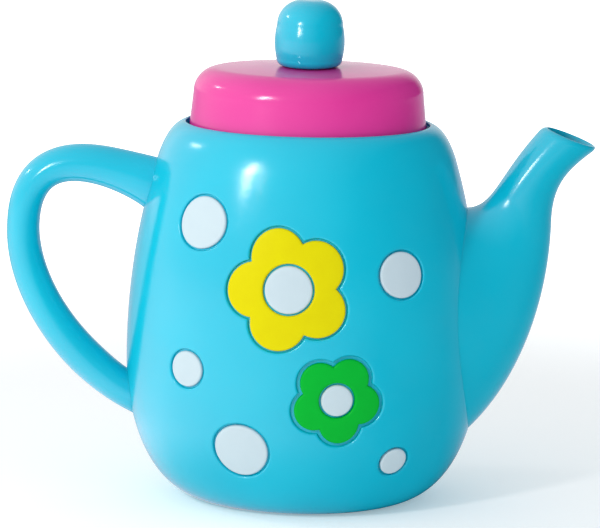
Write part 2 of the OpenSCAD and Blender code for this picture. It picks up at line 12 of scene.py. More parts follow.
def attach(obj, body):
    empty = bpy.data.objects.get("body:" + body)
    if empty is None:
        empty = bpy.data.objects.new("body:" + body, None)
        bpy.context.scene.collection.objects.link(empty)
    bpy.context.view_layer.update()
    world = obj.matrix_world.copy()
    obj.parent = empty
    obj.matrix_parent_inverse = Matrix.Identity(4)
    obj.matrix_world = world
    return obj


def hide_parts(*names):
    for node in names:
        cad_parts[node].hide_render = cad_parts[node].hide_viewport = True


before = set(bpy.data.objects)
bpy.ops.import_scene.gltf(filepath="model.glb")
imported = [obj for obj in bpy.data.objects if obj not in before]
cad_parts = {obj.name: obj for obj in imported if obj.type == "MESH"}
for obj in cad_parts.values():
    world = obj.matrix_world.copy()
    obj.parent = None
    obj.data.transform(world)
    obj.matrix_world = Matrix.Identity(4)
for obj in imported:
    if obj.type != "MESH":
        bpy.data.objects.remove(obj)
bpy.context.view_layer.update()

# Handle
# A hollow loop of glossy blue plastic, moulded in a front and a rear half that meet in a fine line. Both
# ends pass through the pot's wall and are trapped there by flanges when the pot's halves are closed.

# The pot's profile and wall, which the handle's ends lie against
BELLY_HALF_W = 0.0532
BELLY_HALF_D = 0.0415
BELLY_H = 0.044
FOOT_HALF_W = 0.028
NECK_HALF_W = 0.0442
NECK_H = 0.1045
FOOT_CURVE = 2.15
SIDE_CURVE = 2.06
DEPTH_SHARE = BELLY_HALF_D / BELLY_HALF_W
POT_WALL = 0.002

# The flanges that trap a limb, and the rounding of every edge at the parting plane
FLANGE_GAP = 0.0003
FLANGE_W = 0.0015
FLANGE_T = 0.0016
PARTING_R = 0.00018
PARTING_STEPS = np.array([0, 0.15, 0.4, 0.7, 1, 2]) * PARTING_R

# The handle's middle line, thickness and wall
HANDLE_REACH = 0.08459
HANDLE_MID_H = 0.0804
HANDLE_TOP_H = 0.0951
HANDLE_LOW_H = 0.0311
HANDLE_TOP_R = 0.0069
HANDLE_MID_R = 0.0049
HANDLE_LOW_R = 0.0059
HANDLE_HALF_D = 0.0058
HANDLE_WALL = 0.0018
OVER_SHARES = ((0, 1), (0.38, 1.44), (1, 1.84), (1, 0))
UNDER_SHARES = ((0, 0), (0, 0.36), (0.42, 0.78), (1, 1))
TURN_ZONE = 0.16

# The step that gives the line's direction, the mesh's rows and turns, and what counts as one point, as
# nought and as a sharp edge
LINE_STEP = 0.01
HANDLE_ROWS = 156
HANDLE_TURNS = 36
WELD = 2e-6
NOUGHT = 1e-9
SHARP = math.radians(38)

# The plastic's skin: strength of its gloss, the spans of noise over which its colour drifts and over which
# rubbed patches and hairlines come in, how much duller these are, and the depths of its orange peel and grain
SKIN_GLOSS = 0.38
DRIFT_SPAN = (0.32, 0.68)
RUBBED_SPAN = (0.35, 0.75)
HAIRS_SPAN = (0.64, 0.78)
RUBBED_DULLER = 0.07
HAIRS_DULLER = 0.07
PEEL_D = 0.00003
GRAIN_D = 0.000004


def between(low, high, share):
    """A value part of the way from low to high: low plus the share of their difference."""
    return low + (high - low) * share


def on_plane(depth):
    """Depths, of which those within a hair of the parting plane are put exactly on it."""
    return np.where(np.abs(depth) < NOUGHT, 0, depth)


def unit(vectors):
    """Vectors divided by their lengths."""
    return vectors / np.linalg.norm(vectors, axis=-1, keepdims=True)


def bezier(points, t):
    """Cubic Bezier curve: four control points weighted by the Bernstein polynomials of t."""
    p = np.asarray(points, float)
    t = np.asarray(t, float)[..., None]
    return (1 - t) ** 3 * p[0] + 3 * (1 - t) ** 2 * t * p[1] + 3 * (1 - t) * t * t * p[2] + t ** 3 * p[3]


def pot_half_w(z):
    """Half width of the pot at height z: a superellipse's quarter out of the foot up to the belly, then drawn
    in to the neck by a power of the share of the way."""
    low = np.clip(1 - z / BELLY_H, 0, 1)
    high = np.clip((z - BELLY_H) / (NECK_H - BELLY_H), 0, None)
    foot = between(FOOT_HALF_W, BELLY_HALF_W, (1 - low ** FOOT_CURVE) ** (1 / FOOT_CURVE))
    return np.where(z < BELLY_H, foot, between(BELLY_HALF_W, NECK_HALF_W, high ** SIDE_CURVE))


def pot_normal(z):
    """Outward normal of that profile, as sideways and up: the gradients of the two curves, made unit."""
    low = np.clip(1 - z / BELLY_H, 0, 1)
    high = np.clip((z - BELLY_H) / (NECK_H - BELLY_H), 0, None)
    foot_side = (1 - low ** FOOT_CURVE) ** (1 - 1 / FOOT_CURVE) / (BELLY_HALF_W - FOOT_HALF_W)
    foot_up = -low ** (FOOT_CURVE - 1) / BELLY_H
    steep = SIDE_CURVE * (BELLY_HALF_W - NECK_HALF_W) / (NECK_H - BELLY_H) * high ** (SIDE_CURVE - 1)
    side = np.where(z < BELLY_H, foot_side, 1)
    up = np.where(z < BELLY_H, foot_up, steep)
    long = np.hypot(side, up)
    return side / long, up / long


def wall_x(y, z, inset):
    """Half width of the pot at depth y and height z, a distance inside its wall: the oval section there."""
    inward = inset / pot_normal(z)[0]
    half_w = pot_half_w(z)
    return (half_w - inward) * np.sqrt(1 - (y / (half_w * DEPTH_SHARE - inward)) ** 2)


def drawn_in(y):
    """How far a surface falls back near the parting plane: a quarter circle over the parting's radius."""
    near = np.clip(1 - np.abs(y) / PARTING_R, 0, 1)
    return PARTING_R * (1 - np.sqrt(1 - near ** 2))


def turn_angles(half_d, count):
    """Angles round half an oval, one row for each half depth: close together at both ends, where the
    parting edge is rounded, and even between."""
    ends = np.arcsin(np.clip(PARTING_STEPS / half_d[:, None], 0, 1))
    middle = between(ends[:, -1:], np.pi - ends[:, -1:], np.linspace(0, 1, count)[1:-1])
    return np.hstack([ends, middle, np.pi - ends[:, ::-1]])


def section_points(sections, turns, grow):
    """Half ovals: each row of sections is upper x and z, lower x and z, half depth. A point at a turn lies on
    the oval whose long axis joins the upper point to the lower one, with both half axes grown alike."""
    upper, lower, half_d = sections[:, None, 0:2], sections[:, None, 2:4], sections[:, None, 4]
    axis = upper - lower
    long = np.linalg.norm(axis, axis=-1)
    reach = (long / 2 + grow) * np.cos(turns)
    middle = (upper + lower) / 2 + axis / long[..., None] * reach[..., None]
    depth = (half_d + grow) * np.sin(turns)
    return np.stack([middle[..., 0], on_plane(depth), middle[..., 1]], -1)


def on_wall(points, inset, side):
    """Points moved sideways onto the pot's wall, a distance inside it."""
    x = side * wall_x(points[..., 1], points[..., 2], inset)
    return np.stack([x, points[..., 1], points[..., 2]], -1)


def limb_loops(sections, root, count, outer, inner, pull, side, edge=1.0):
    """Loops of a hollow half limb, out round its sections grown by outer and back round them grown by inner.
    edge is how much of the parting edge's rounding the outside keeps, and pull draws a loop to the saddle
    that the root's oval makes on the pot's wall."""
    turns = turn_angles(sections[:, 4], count)
    drawn = drawn_in((sections[:, None, 4] + outer) * np.sin(turns)) * edge
    loops = []
    for grow in (outer - drawn, inner + 0 * drawn):
        free = section_points(sections, turns, grow)
        base = section_points(np.repeat(root[None], len(sections), 0), turns, grow)
        free[..., 0] += pull[:, None] * (on_wall(base, 0, side)[..., 0] - base[..., 0])
        loops.append(free)
    return np.concatenate([loops[0], loops[1][:, ::-1]], 1)


def end_loops(root, count, wall, side):
    """Loops of a limb's trapped end, from its flange inside the pot to the pot's surface. The inner oval
    keeps the outer one's distance into the wall."""
    seat = POT_WALL + FLANGE_GAP
    insets = (seat + FLANGE_T, seat, seat - FLANGE_GAP / 2, 0)
    grows = (FLANGE_W, FLANGE_W, 0, 0)
    section = root[None]
    turns = turn_angles(section[:, 4], count)
    loops = []
    for inset, grow in zip(insets, grows):
        outer = on_wall(section_points(section, turns, grow), inset, side)
        inner = section_points(section, turns, -wall)
        inner[..., 0] = on_wall(section_points(section, turns, 0), inset, side)[..., 0]
        loops.append(np.concatenate([outer, inner[:, ::-1]], 1))
    return np.concatenate(loops)


def grid_faces(rows, columns, around):
    """Quads of a grid of rows by columns, as point numbers; around joins the last column to the first."""
    i = np.arange(rows - 1)[:, None] * columns
    j = np.arange(columns if around else columns - 1)[None, :]
    k = (j + 1) % columns
    return np.stack([i + j, i + k, i + columns + k, i + columns + j], -1).reshape(-1, 4)


def ring_faces(first, count):
    """Quads across the open end of a hollow limb, between a loop's outer points and its inner ones."""
    j = np.arange(count // 2 - 1)
    return first + np.stack([j, j + 1, count - 2 - j, count - 1 - j], -1)


def grid_patch(points, around=False):
    """A patch from an array of rows by columns of points, and its quads."""
    rows, columns = points.shape[:2]
    return points.reshape(-1, 3), grid_faces(rows, columns, around)


def piece(name, patches, material, slot, body, *nodes, fill=False):
    """A closed mesh piece: its patches are joined where their points meet, open edges in the parting plane
    are filled if asked, faces are turned outwards, and it rides on a body in the place of CAD nodes."""
    starts = np.cumsum([0] + [len(points) for points, part in patches])
    faces = [face for start, (points, part) in zip(starts, patches) for face in (part + start).tolist()]
    mesh = bpy.data.meshes.new(name)
    mesh.from_pydata(np.concatenate([points for points, part in patches]).tolist(), [], faces)
    work = bmesh.new()
    work.from_mesh(mesh)
    bmesh.ops.remove_doubles(work, verts=work.verts, dist=WELD)
    if fill:
        rim = [edge for edge in work.edges if edge.is_boundary]
        bmesh.ops.triangle_fill(work, use_beauty=True, use_dissolve=False, edges=rim, normal=(0, 1, 0))
    bmesh.ops.recalc_face_normals(work, faces=work.faces)
    work.to_mesh(mesh)
    work.free()
    mesh.shade_smooth()
    mesh.set_sharp_from_angle(angle=SHARP)
    mesh.materials.append(material)
    made = bpy.data.objects.new(name, mesh)
    bpy.context.scene.collection.objects.link(made)
    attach(made, body)
    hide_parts(*nodes)


def root_point(height, side):
    """Where a limb leaves the pot's profile at a height, as sideways and up."""
    return side * float(pot_half_w(height)), height


def spread_shares(start, end, shares):
    """Control points that lie at shares of the way from one point to another, sideways and up."""
    return [(between(start[0], end[0], x), between(start[1], end[1], z)) for x, z in shares]


def handle_line(s):
    """The handle's middle line: one Bezier curve over the top to its outermost point, one back under it."""
    top, low = root_point(HANDLE_TOP_H, -1), root_point(HANDLE_LOW_H, -1)
    over = spread_shares((top[0], HANDLE_MID_H), (-HANDLE_REACH, HANDLE_TOP_H), OVER_SHARES)
    under = spread_shares((-HANDLE_REACH, HANDLE_MID_H), low, UNDER_SHARES)
    first, second = bezier(over, np.clip(2 * s, 0, 1)), bezier(under, np.clip(2 * s - 1, 0, 1))
    return np.where((s < 0.5)[..., None], first, second)


def handle_sections(s):
    """Sections across that line, which turn upright near both ends so that they lie along the pot's wall.
    The half thickness falls by a sine from the top end to the middle and grows evenly to the lower end."""
    along = handle_line(np.minimum(1, s + LINE_STEP)) - handle_line(np.maximum(0, s - LINE_STEP))
    out = unit(np.stack([along[:, 1], -along[:, 0]], -1))
    turned = 1 - np.minimum(1, np.minimum(s, 1 - s) / TURN_ZONE)
    ease = (turned ** 2 * (3 - 2 * turned))[:, None]
    upright = np.stack([0 * s, np.where(s < 0.5, 1, -1)], -1)
    tilt = unit(between(out, upright, ease))
    upper_t = between(HANDLE_TOP_R, HANDLE_MID_R, np.sin(np.pi * s))
    half_t = np.where(s < 0.5, upper_t, between(HANDLE_MID_R, HANDLE_LOW_R, 2 * s - 1))
    reach = (half_t / (tilt * out).sum(1))[:, None]
    line = handle_line(s)
    return np.hstack([line + tilt * reach, line - tilt * reach, np.full((len(s), 1), HANDLE_HALF_D)])


def handle_half():
    """The handle's half behind the parting plane: flange loops at both ends and free loops between them, each
    drawn to the saddle of the root that it is nearer to, by the square of how near it is."""
    s = np.linspace(0, 1, HANDLE_ROWS + 1)
    sections = handle_sections(s)
    top, low = sections[0], sections[-1]
    pull = (1 - np.minimum(1, np.minimum(s, 1 - s) / TURN_ZONE)) ** 2
    upper = s < 0.5
    free = [limb_loops(sections[part], root, HANDLE_TURNS, 0, -HANDLE_WALL, pull[part], -1)[keep]
            for part, root, keep in ((upper, top, slice(1, None)), (~upper, low, slice(None, -1)))]
    ends = [end_loops(root, HANDLE_TURNS, HANDLE_WALL, -1) for root in (top, low)]
    loops = np.concatenate([ends[0], *free, ends[1][::-1]])
    points, faces = grid_patch(loops, around=True)
    count = loops.shape[1]
    return points, np.concatenate([faces, ring_faces(0, count), ring_faces(len(points) - count, count)])


def mirrored(patch):
    """A patch on the other side of the parting plane: the same points at depths of the other sign."""
    return patch[0] * (1, -1, 1), patch[1]


def linear(red, green, blue):
    """A colour given as 0 to 255 on a screen, as the linear light that shaders take: a share of 255 is
    divided by 12.92 where it is small, and else, plus 0.055 and over 1.055, raised to the power 2.4."""
    share = np.array([red, green, blue]) / 255
    light = np.where(share <= 0.04045, share / 12.92, ((share + 0.055) / 1.055) ** 2.4)
    return tuple(light.tolist())


def node_adder(tree):
    """A function that adds nodes to a tree."""

    def add(kind, **settings):
        """A new node of a kind. A setting that names an input sets it to a value or links it to a socket, and
        any other sets the node's own property."""
        made = tree.nodes.new("ShaderNode" + kind)
        for key, value in settings.items():
            socket = made.inputs.get(key.replace("_", " "))
            if socket is None:
                setattr(made, key, value)
            elif isinstance(value, bpy.types.NodeSocket):
                tree.links.new(value, socket)
            else:
                socket.default_value = value
        return made

    return add


def shader(name):
    """An empty node material, its principled shader, and functions that link two sockets and add a node."""
    material = bpy.data.materials.new(name)
    material.use_nodes = True
    tree = material.node_tree
    return material, tree.nodes["Principled BSDF"], tree.links.new, node_adder(tree)


def ranged(add, value, low, high, start=0.0, stop=1.0, ease="LINEAR"):
    """A value's place between low and high, held within them, as a number from start to stop."""
    made = add("MapRange", Value=value, interpolation_type=ease)
    for name, number in (("From Min", low), ("From Max", high), ("To Min", start), ("To Max", stop)):
        made.inputs[name].default_value = number
    return made.outputs["Result"]


def mixed(add, share, first, second):
    """A mix of two colours, each written out or taken from a socket: the first where the share is nought, the
    second where it is one, and even between."""
    mix = add("Mix", data_type="RGBA")
    link = mix.id_data.links.new
    link(share, mix.inputs[0])
    for socket, colour in ((mix.inputs[6], first), (mix.inputs[7], second)):
        if isinstance(colour, bpy.types.NodeSocket):
            link(colour, socket)
        else:
            socket.default_value = (*colour, 1)
    return mix.outputs[2]


def moulded_plastic(name, colour, deeper, gloss):
    """Injection-moulded plastic: the colour drifts slightly from one place to another, the gloss is broken by
    faint rubbed patches and hairlines, and the skin has a slight orange peel over a fine grain."""
    material, surface, link, add = shader(name)
    surface.inputs["Specular IOR Level"].default_value = SKIN_GLOSS
    place = add("TexCoord").outputs["Object"]
    drift = add("TexNoise", Vector=place, Scale=26.0, Detail=2.0, Roughness=0.45).outputs["Fac"]
    link(mixed(add, ranged(add, drift, *DRIFT_SPAN), colour, deeper), surface.inputs["Base Color"])

    rubbed = add("TexNoise", Vector=place, Scale=95.0, Detail=5.0, Roughness=0.62).outputs["Fac"]
    stretched = add("Mapping", Vector=place, Rotation=(0.3, 0.5, 0.2), Scale=(1, 9, 1.4)).outputs["Vector"]
    hairs = add("TexNoise", Vector=stretched, Scale=520.0, Detail=3.0, Roughness=0.7).outputs["Fac"]
    total = add("Math", operation="ADD")
    link(ranged(add, rubbed, *RUBBED_SPAN, gloss, gloss + RUBBED_DULLER), total.inputs[0])
    link(ranged(add, hairs, *HAIRS_SPAN, 0, HAIRS_DULLER), total.inputs[1])
    link(total.outputs[0], surface.inputs["Roughness"])

    grain = add("TexNoise", Vector=place, Scale=2600.0, Detail=2.0, Roughness=0.5).outputs["Fac"]
    fine = add("Bump", Height=grain, Strength=0.25, Distance=GRAIN_D).outputs["Normal"]
    peel = add("TexNoise", Vector=place, Scale=420.0, Detail=2.0, Roughness=0.5).outputs["Fac"]
    coarse = add("Bump", Height=peel, Strength=0.5, Distance=PEEL_D, Normal=fine).outputs["Normal"]
    link(coarse, surface.inputs["Normal"])
    return material


POT_BLUE = moulded_plastic("pot_blue_gloss", linear(11, 187, 213), linear(6, 180, 207), 0.15)
handle_patch = handle_half()
piece("handle_front", [mirrored(handle_patch)], POT_BLUE, "pot_blue", "pot", "handle_front_half")
piece("handle_rear", [handle_patch], POT_BLUE, "pot_blue", "pot", "handle_rear_half")

# Spout
# A hollow spout of the same blue plastic in two halves, wide where it leaves the pot and drawn in to a
# slanted mouth with a thin rounded lip. Its root is trapped in the pot's wall like the handle's ends.
SPOUT_REACH = 0.0864
SPOUT_MOUTH_X = 0.0701
SPOUT_TOP_H = 0.1144
SPOUT_LIP_H = 0.1084
SPOUT_NECK_X = 0.0734
SPOUT_NECK_H = 0.0857
ROOT_TOP_H = 0.0893
ROOT_LOW_H = 0.022
ROOT_HALF_D = 0.021
SPOUT_NECK_HALF_D = 0.0075
SPOUT_MOUTH_HALF_D = 0.0078
SPOUT_WALL = 0.0016
UPPER_SHARES = ((0, 0), (0.36, 0.015), (0.41, 0.42), (1, 1))
LOWER_SHARES = ((0, 0), (0.63, 0.225), (1, 0.61), (1, 1))
THROAT_SHARES = ((0, 0), (0, 0.53), (0.37, 0.72), (1, 1))
NECK_AT = 0.5
ROOT_SWELL = 1.6
SPOUT_ROWS = 112
SPOUT_TURNS = 56

# The lip: how much of the wall it draws in from outside, its length, where its rows lie before the mouth,
# and the share of the spout by which metres along it are measured there
LIP_OUT = 0.0012
LIP_LONG = 0.0019
LIP_STEPS = np.array([1.9, 1.6, 1.25, 0.9, 0.6, 0.35, 0.15, 0.04, 0]) * 0.001
END_SHARE = 0.02


def spout_sections(s):
    """Sections along the spout: its upper side is one Bezier curve, its under side two that meet at the
    neck, and its half depth swells towards the root by a power of the distance from the neck."""
    to_neck, past_neck = np.clip(s / NECK_AT, 0, 1), np.clip((s - NECK_AT) / (1 - NECK_AT), 0, 1)
    neck = (SPOUT_NECK_X, SPOUT_NECK_H)
    mouth = (SPOUT_MOUTH_X, SPOUT_TOP_H)
    upper = bezier(spread_shares(root_point(ROOT_TOP_H, 1), mouth, UPPER_SHARES), s)
    below = bezier(spread_shares(root_point(ROOT_LOW_H, 1), neck, LOWER_SHARES), to_neck)
    above = bezier(spread_shares(neck, (SPOUT_REACH, SPOUT_LIP_H), THROAT_SHARES), past_neck)
    flare = (SPOUT_MOUTH_HALF_D - SPOUT_NECK_HALF_D) * past_neck
    half_d = between(SPOUT_NECK_HALF_D, ROOT_HALF_D, (1 - to_neck) ** ROOT_SWELL) + flare
    lower = np.where((s < NECK_AT)[:, None], below, above)
    return np.hstack([upper, lower, half_d[:, None]])


def spout_half():
    """The spout's half behind the parting plane. Near the mouth the outer and the inner surface close on each
    other along quarter ellipses, which make the lip, and near the root both are drawn to its saddle by the
    square of the way back from the mouth."""
    end = spout_sections(np.array([1 - END_SHARE, 1.0]))[:, :4].reshape(2, 2, 2).mean(1)
    long = np.linalg.norm(end[1] - end[0]) / END_SHARE
    lip = 1 - LIP_STEPS / long
    s = np.concatenate([np.linspace(0, lip[0], SPOUT_ROWS)[1:-1], lip])
    sections = spout_sections(s)
    root = spout_sections(np.array([0.0]))[0]
    near = np.clip(1 - (1 - s) * long / LIP_LONG, 0, 1)
    closed = 1 - np.sqrt(1 - near ** 2)
    outer, inner = -LIP_OUT * closed, (SPOUT_WALL - LIP_OUT) * closed - SPOUT_WALL
    free = limb_loops(sections, root, SPOUT_TURNS, outer[:, None], inner[:, None], (1 - s) ** 2, 1,
                      edge=1 - near[:, None])
    loops = np.concatenate([end_loops(root, SPOUT_TURNS, SPOUT_WALL, 1), free])
    points, faces = grid_patch(loops, around=True)
    return points, np.concatenate([faces, ring_faces(0, free.shape[1])])


spout_patch = spout_half()
piece("spout_front", [mirrored(spout_patch)], POT_BLUE, "pot_blue", "pot", "spout_front_half")
piece("spout_rear", [spout_patch], POT_BLUE, "pot_blue", "pot", "spout_rear_half")

# Front half of the pot
# A hollow oval shell of the same blue plastic, open at the parting plane, with a rim and a ledge for the
# lid, ways out for the handle and the spout, shallow pockets for the inlays, and posts for four screws.

# Shoulder, rim, mouth and the lid's ledge
RIM_H = 0.1142
MOUTH_HALF_W = 0.0363
SEAT_H = RIM_H - 0.003
LEDGE_W = 0.0028
LEDGE_T = 0.0022
SHOULDER_SHARES = ((0, 0), (0.22, 0.48), (0.48, 0.9), (0.95, 1))
LIP_R = 0.0004
EDGE_R = 0.0003
ROOT_GAP = 0.00015

# Pockets and what lies in them. A flower has the distance and the radius of its petals' circles, and a
# place is the sine of its angle from the pot's front and its share of the neck's height.
POCKET_D = 0.0011
POCKET_LIP_R = 0.0006
POCKET_FOOT_R = 0.0002
GROOVE_W = 0.0006
GREEN_GROOVE_W = 0.0011
PETALS = 5
YELLOW_TURN = math.radians(38)
GREEN_TURN = math.radians(61)
YELLOW_PETALS = (0.0102, 0.0082)
GREEN_PETALS = (0.0072, 0.006)
YELLOW_PLACE = (-0.091, 0.682)
GREEN_PLACE = (0.191, 0.372)
DOTS = {
    "dot_upper_left": ((-0.625, 0.849), 0.0077),
    "dot_right": ((0.555, 0.718), 0.0068),
    "dot_mid_left": ((-0.643, 0.435), 0.0053),
    "dot_lower_left": ((-0.353, 0.214), 0.0081),
    "dot_lower_right": ((0.553, 0.18), 0.0042),
}

# Screw posts
SCREW_PLACES = [(x, z) for x in (-0.033, 0.033) for z in (0.017, 0.096)]
POST_R = 0.0029
PILOT_R = 0.0011
PILOT_DEPTH = 0.0095

# How finely the shell is made: the step between columns, the half width by which angles are laid out as
# lengths, the rows of its parts, and the steps round its edges and holes
COLUMN_STEP = math.radians(1.35)
EVEN_HALF_W = 0.045
FOOT_ROWS = 50
SIDE_ROWS = 58
SHOULDER_ROWS = 22
FLOOR_ROWS = 18
EDGE_STEPS = 6
ROUND_STEPS = 48
ROOT_STEPS = 40
LEVELS = np.linspace(0, NECK_H, 4000)

# How it is cut: between these heights, with rings of points so far outside each cut and the grid's own points
# at least so far, all joined in a flat plane at this scale, where points closer than that count as one
CUT_LOW_H = 0.007
CUT_HIGH_H = 0.103
RING_GROWS = (0, 0.0003, 0.0008)
GRID_CLEAR = 0.0013
FLAT_SCALE = 1000
FLAT_CLOSE = 1e-5


def outer_row(z):
    """A level of the pot's outside at height z: half width, no inset, height, and its profile's normal."""
    side, up = pot_normal(z)
    return np.stack([pot_half_w(z), 0 * z, z, side, up], -1)


def inner_row(z):
    """The level of the pot's inside that lies a wall's thickness in from the outside at height z."""
    side, up = pot_normal(z)
    return np.stack([pot_half_w(z), POT_WALL * side, z - POT_WALL * up, -side, -up], -1)


INNER_HEIGHTS = inner_row(LEVELS)[:, 2]


def inner_row_at(z):
    """The level of the pot's inside that lies at height z, looked up among the levels' own heights."""
    return inner_row(np.interp(z, INNER_HEIGHTS, LEVELS))


def wall_normal(theta, side, up):
    """The wall's normal at angles from the pot's middle: the oval's gradient, made unit, where the profile's
    own normal is side and up."""
    return unit(np.stack([DEPTH_SHARE * side * np.sin(theta), -side * np.cos(theta), DEPTH_SHARE * up], -1))


def wall_points(theta, row):
    """Points at angles theta from the pot's middle on levels: an oval with half axes of half width less inset
    and half width times the depth share less inset, then drawn in near the parting plane."""
    half_w, inset, z, side, up, theta = np.broadcast_arrays(*np.moveaxis(row, -1, 0), theta)
    x, y = (half_w - inset) * np.sin(theta), -(half_w * DEPTH_SHARE - inset) * np.cos(theta)
    points = np.stack([x, on_plane(y), z], -1) - wall_normal(theta, side, up) * drawn_in(y)[..., None]
    points[..., 1] = on_plane(points[..., 1])
    return points


def arc(inset, z, radius, start, stop, count=5):
    """A rounded corner of the mouth's profile, as half width, inset and height: a circle's arc between two
    angles in degrees, measured from straight up towards the pot's middle."""
    a = np.radians(np.linspace(start, stop, count))
    return np.stack([np.full(count, MOUTH_HALF_W), inset + radius * np.sin(a), z + radius * np.cos(a)], -1)


def straight(start, stop, count):
    """Levels that run evenly from one to another, both kept."""
    return between(np.array(start), np.array(stop), np.linspace(0, 1, count)[:, None])


def with_normals(levels):
    """Levels with the normal of their profile, which is square to its run and points out of the wall."""
    dx, dz = np.gradient(levels[:, 0] - levels[:, 1]), np.gradient(levels[:, 2])
    long = np.hypot(dx, dz)
    return np.column_stack([levels, dz / long, -dx / long])


def quarter(count):
    """Angles of a quarter turn in even steps, both ends kept."""
    return np.linspace(0, np.pi / 2, count)


def rim_rows():
    """The profile from the neck over the shoulder, a Bezier curve, and the rim, a quarter circle, then down
    and round the lid's ledge, whose edges are quarter circles, to the inside of the neck."""
    shoulder = bezier(SHOULDER_SHARES, np.linspace(0, 1, SHOULDER_ROWS))
    outside = np.stack([between(NECK_HALF_W, MOUTH_HALF_W, shoulder[:, 0]), 0 * shoulder[:, 0],
                        between(NECK_H, RIM_H, shoulder[:, 1])], -1)
    a = quarter(5)[1:]
    crest = np.stack([MOUTH_HALF_W + LIP_R * (1 - np.sin(a)), 0 * a, RIM_H - LIP_R * (1 - np.cos(a))], -1)
    under = SEAT_H - LEDGE_T
    neck = inner_row(NECK_H)[:3]
    return with_normals(np.concatenate([
        outside, crest, straight(crest[-1], (MOUTH_HALF_W, 0, SEAT_H + EDGE_R), 5)[1:],
        arc(EDGE_R, SEAT_H + EDGE_R, EDGE_R, 270, 180)[1:],
        straight((MOUTH_HALF_W, EDGE_R, SEAT_H), (MOUTH_HALF_W, LEDGE_W - EDGE_R, SEAT_H), 5)[1:],
        arc(LEDGE_W - EDGE_R, SEAT_H - EDGE_R, EDGE_R, 0, 90)[1:],
        arc(LEDGE_W - EDGE_R, under + EDGE_R, EDGE_R, 90, 180),
        straight((MOUTH_HALF_W, LEDGE_W - EDGE_R, under), (MOUTH_HALF_W, -POT_WALL, under), 6)[1:],
        straight((MOUTH_HALF_W, -POT_WALL, under), neck, 6)[1:],
    ]))


def flat_place(shares):
    """Angle and height of an inlay's middle from its shares, and the wall's length per radian sideways and
    per height there."""
    at, z = math.asin(shares[0]), NECK_H * shares[1]
    side, up = pot_normal(z)
    across = float(pot_half_w(z)) * math.hypot(math.cos(at), DEPTH_SHARE * math.sin(at))
    along = math.hypot(1, up / side * math.hypot(math.sin(at), DEPTH_SHARE * math.cos(at)))
    return at, z, across, along


def front_patch(shares, directions, radii, rises):
    """A patch of rings round an inlay's middle, each at flat distances in all directions from it, and raised
    along the wall's normal."""
    at, middle, across, along = flat_place(shares)
    theta = at + np.array(radii) * np.cos(directions) / across
    row = outer_row(middle + np.array(radii) * np.sin(directions) / along)
    raised = wall_normal(theta, row[..., 3], row[..., 4]) * np.array(rises)[:, None, None]
    return grid_patch(wall_points(theta, row) + raised, around=True)


def circle_radius(radius):
    """Outline of a round inlay: the same distance in every direction, plus any growth."""
    return lambda direction, grow: radius + grow + 0 * direction


def flower_radius(petals, turn):
    """Outline of a flower of round petals: in each direction the far side of the petal's circle, whose middle
    lies a petal's distance out in the middle of its fifth."""
    distance, radius = petals
    pitch = 2 * np.pi / PETALS

    def outline(direction, grow):
        """Distance to the petal's circle, grown, in a direction."""
        off = (direction - turn + pitch / 2) % pitch - pitch / 2
        return distance * np.cos(off) + np.sqrt((radius + grow) ** 2 - (distance * np.sin(off)) ** 2)

    return outline


def full_turn(count):
    """Angles all the way round in even steps, the last one short of the first."""
    return np.linspace(0, 2 * np.pi, count, endpoint=False)


FLOWER_DIRECTIONS = full_turn(220)
ROUND_DIRECTIONS = full_turn(96)


def pocket_cut(shares, outline, directions):
    """A cut for a pocket: how far a wall point lies outside it, its outline's loop, and that it is closed."""
    at, middle, across, along = flat_place(shares)

    def reach(theta, row):
        """Flat distance from the pocket's middle, less the outline's distance in that direction."""
        p, q = (theta - at) * across, (row[..., 2] - middle) * along
        return np.hypot(p, q) - outline(np.arctan2(q, p), 0)

    def loop(grow):
        """The outline, grown, as angles and levels of the pot's outside."""
        r = outline(directions, grow)
        return at + r * np.cos(directions) / across, outer_row(middle + r * np.sin(directions) / along)

    return reach, loop, True


def round_cut(x, z, radius, row_at):
    """A cut for a round hole seen square to the parting plane, through the outside or the inside."""
    turns = full_turn(ROUND_STEPS)

    def reach(theta, row):
        """Distance from the hole's axis, less its radius."""
        return np.hypot((row[..., 0] - row[..., 1]) * np.sin(theta) - x, row[..., 2] - z) - radius

    def loop(grow):
        """The circle, grown, as angles and levels of the wall that it passes through."""
        row = row_at(z + (radius + grow) * np.sin(turns))
        return np.arcsin((x + (radius + grow) * np.cos(turns)) / (row[:, 0] - row[:, 1])), row

    return reach, loop, True


def root_cut(root, side, row_at):
    """A cut for a limb's way out at the parting plane: half an oval seen from the side."""
    middle = (root[1] + root[3]) / 2
    high, deep = abs(root[1] - root[3]) / 2 + ROOT_GAP, root[4] + ROOT_GAP
    turns = np.linspace(0, np.pi, ROOT_STEPS)

    def reach(theta, row):
        """How far the oval would have to grow to meet a point, in shares of it, times its smaller half axis.
        A point on the pot's other side counts as a metre away."""
        y = (row[..., 0] * DEPTH_SHARE - row[..., 1]) * np.cos(theta)
        out = np.hypot((row[..., 2] - middle) / high, y / deep) - 1
        return np.where(np.sign(theta) == side, out * min(high, deep), 1)

    def loop(grow):
        """The half oval, grown, as angles and levels of the wall that it passes through."""
        row = row_at(middle + (high + grow) * np.cos(turns))
        depth = on_plane((deep + grow) * np.sin(turns))
        return side * (np.pi / 2 - np.arcsin(depth / (row[:, 0] * DEPTH_SHARE - row[:, 1]))), row

    return reach, loop, False


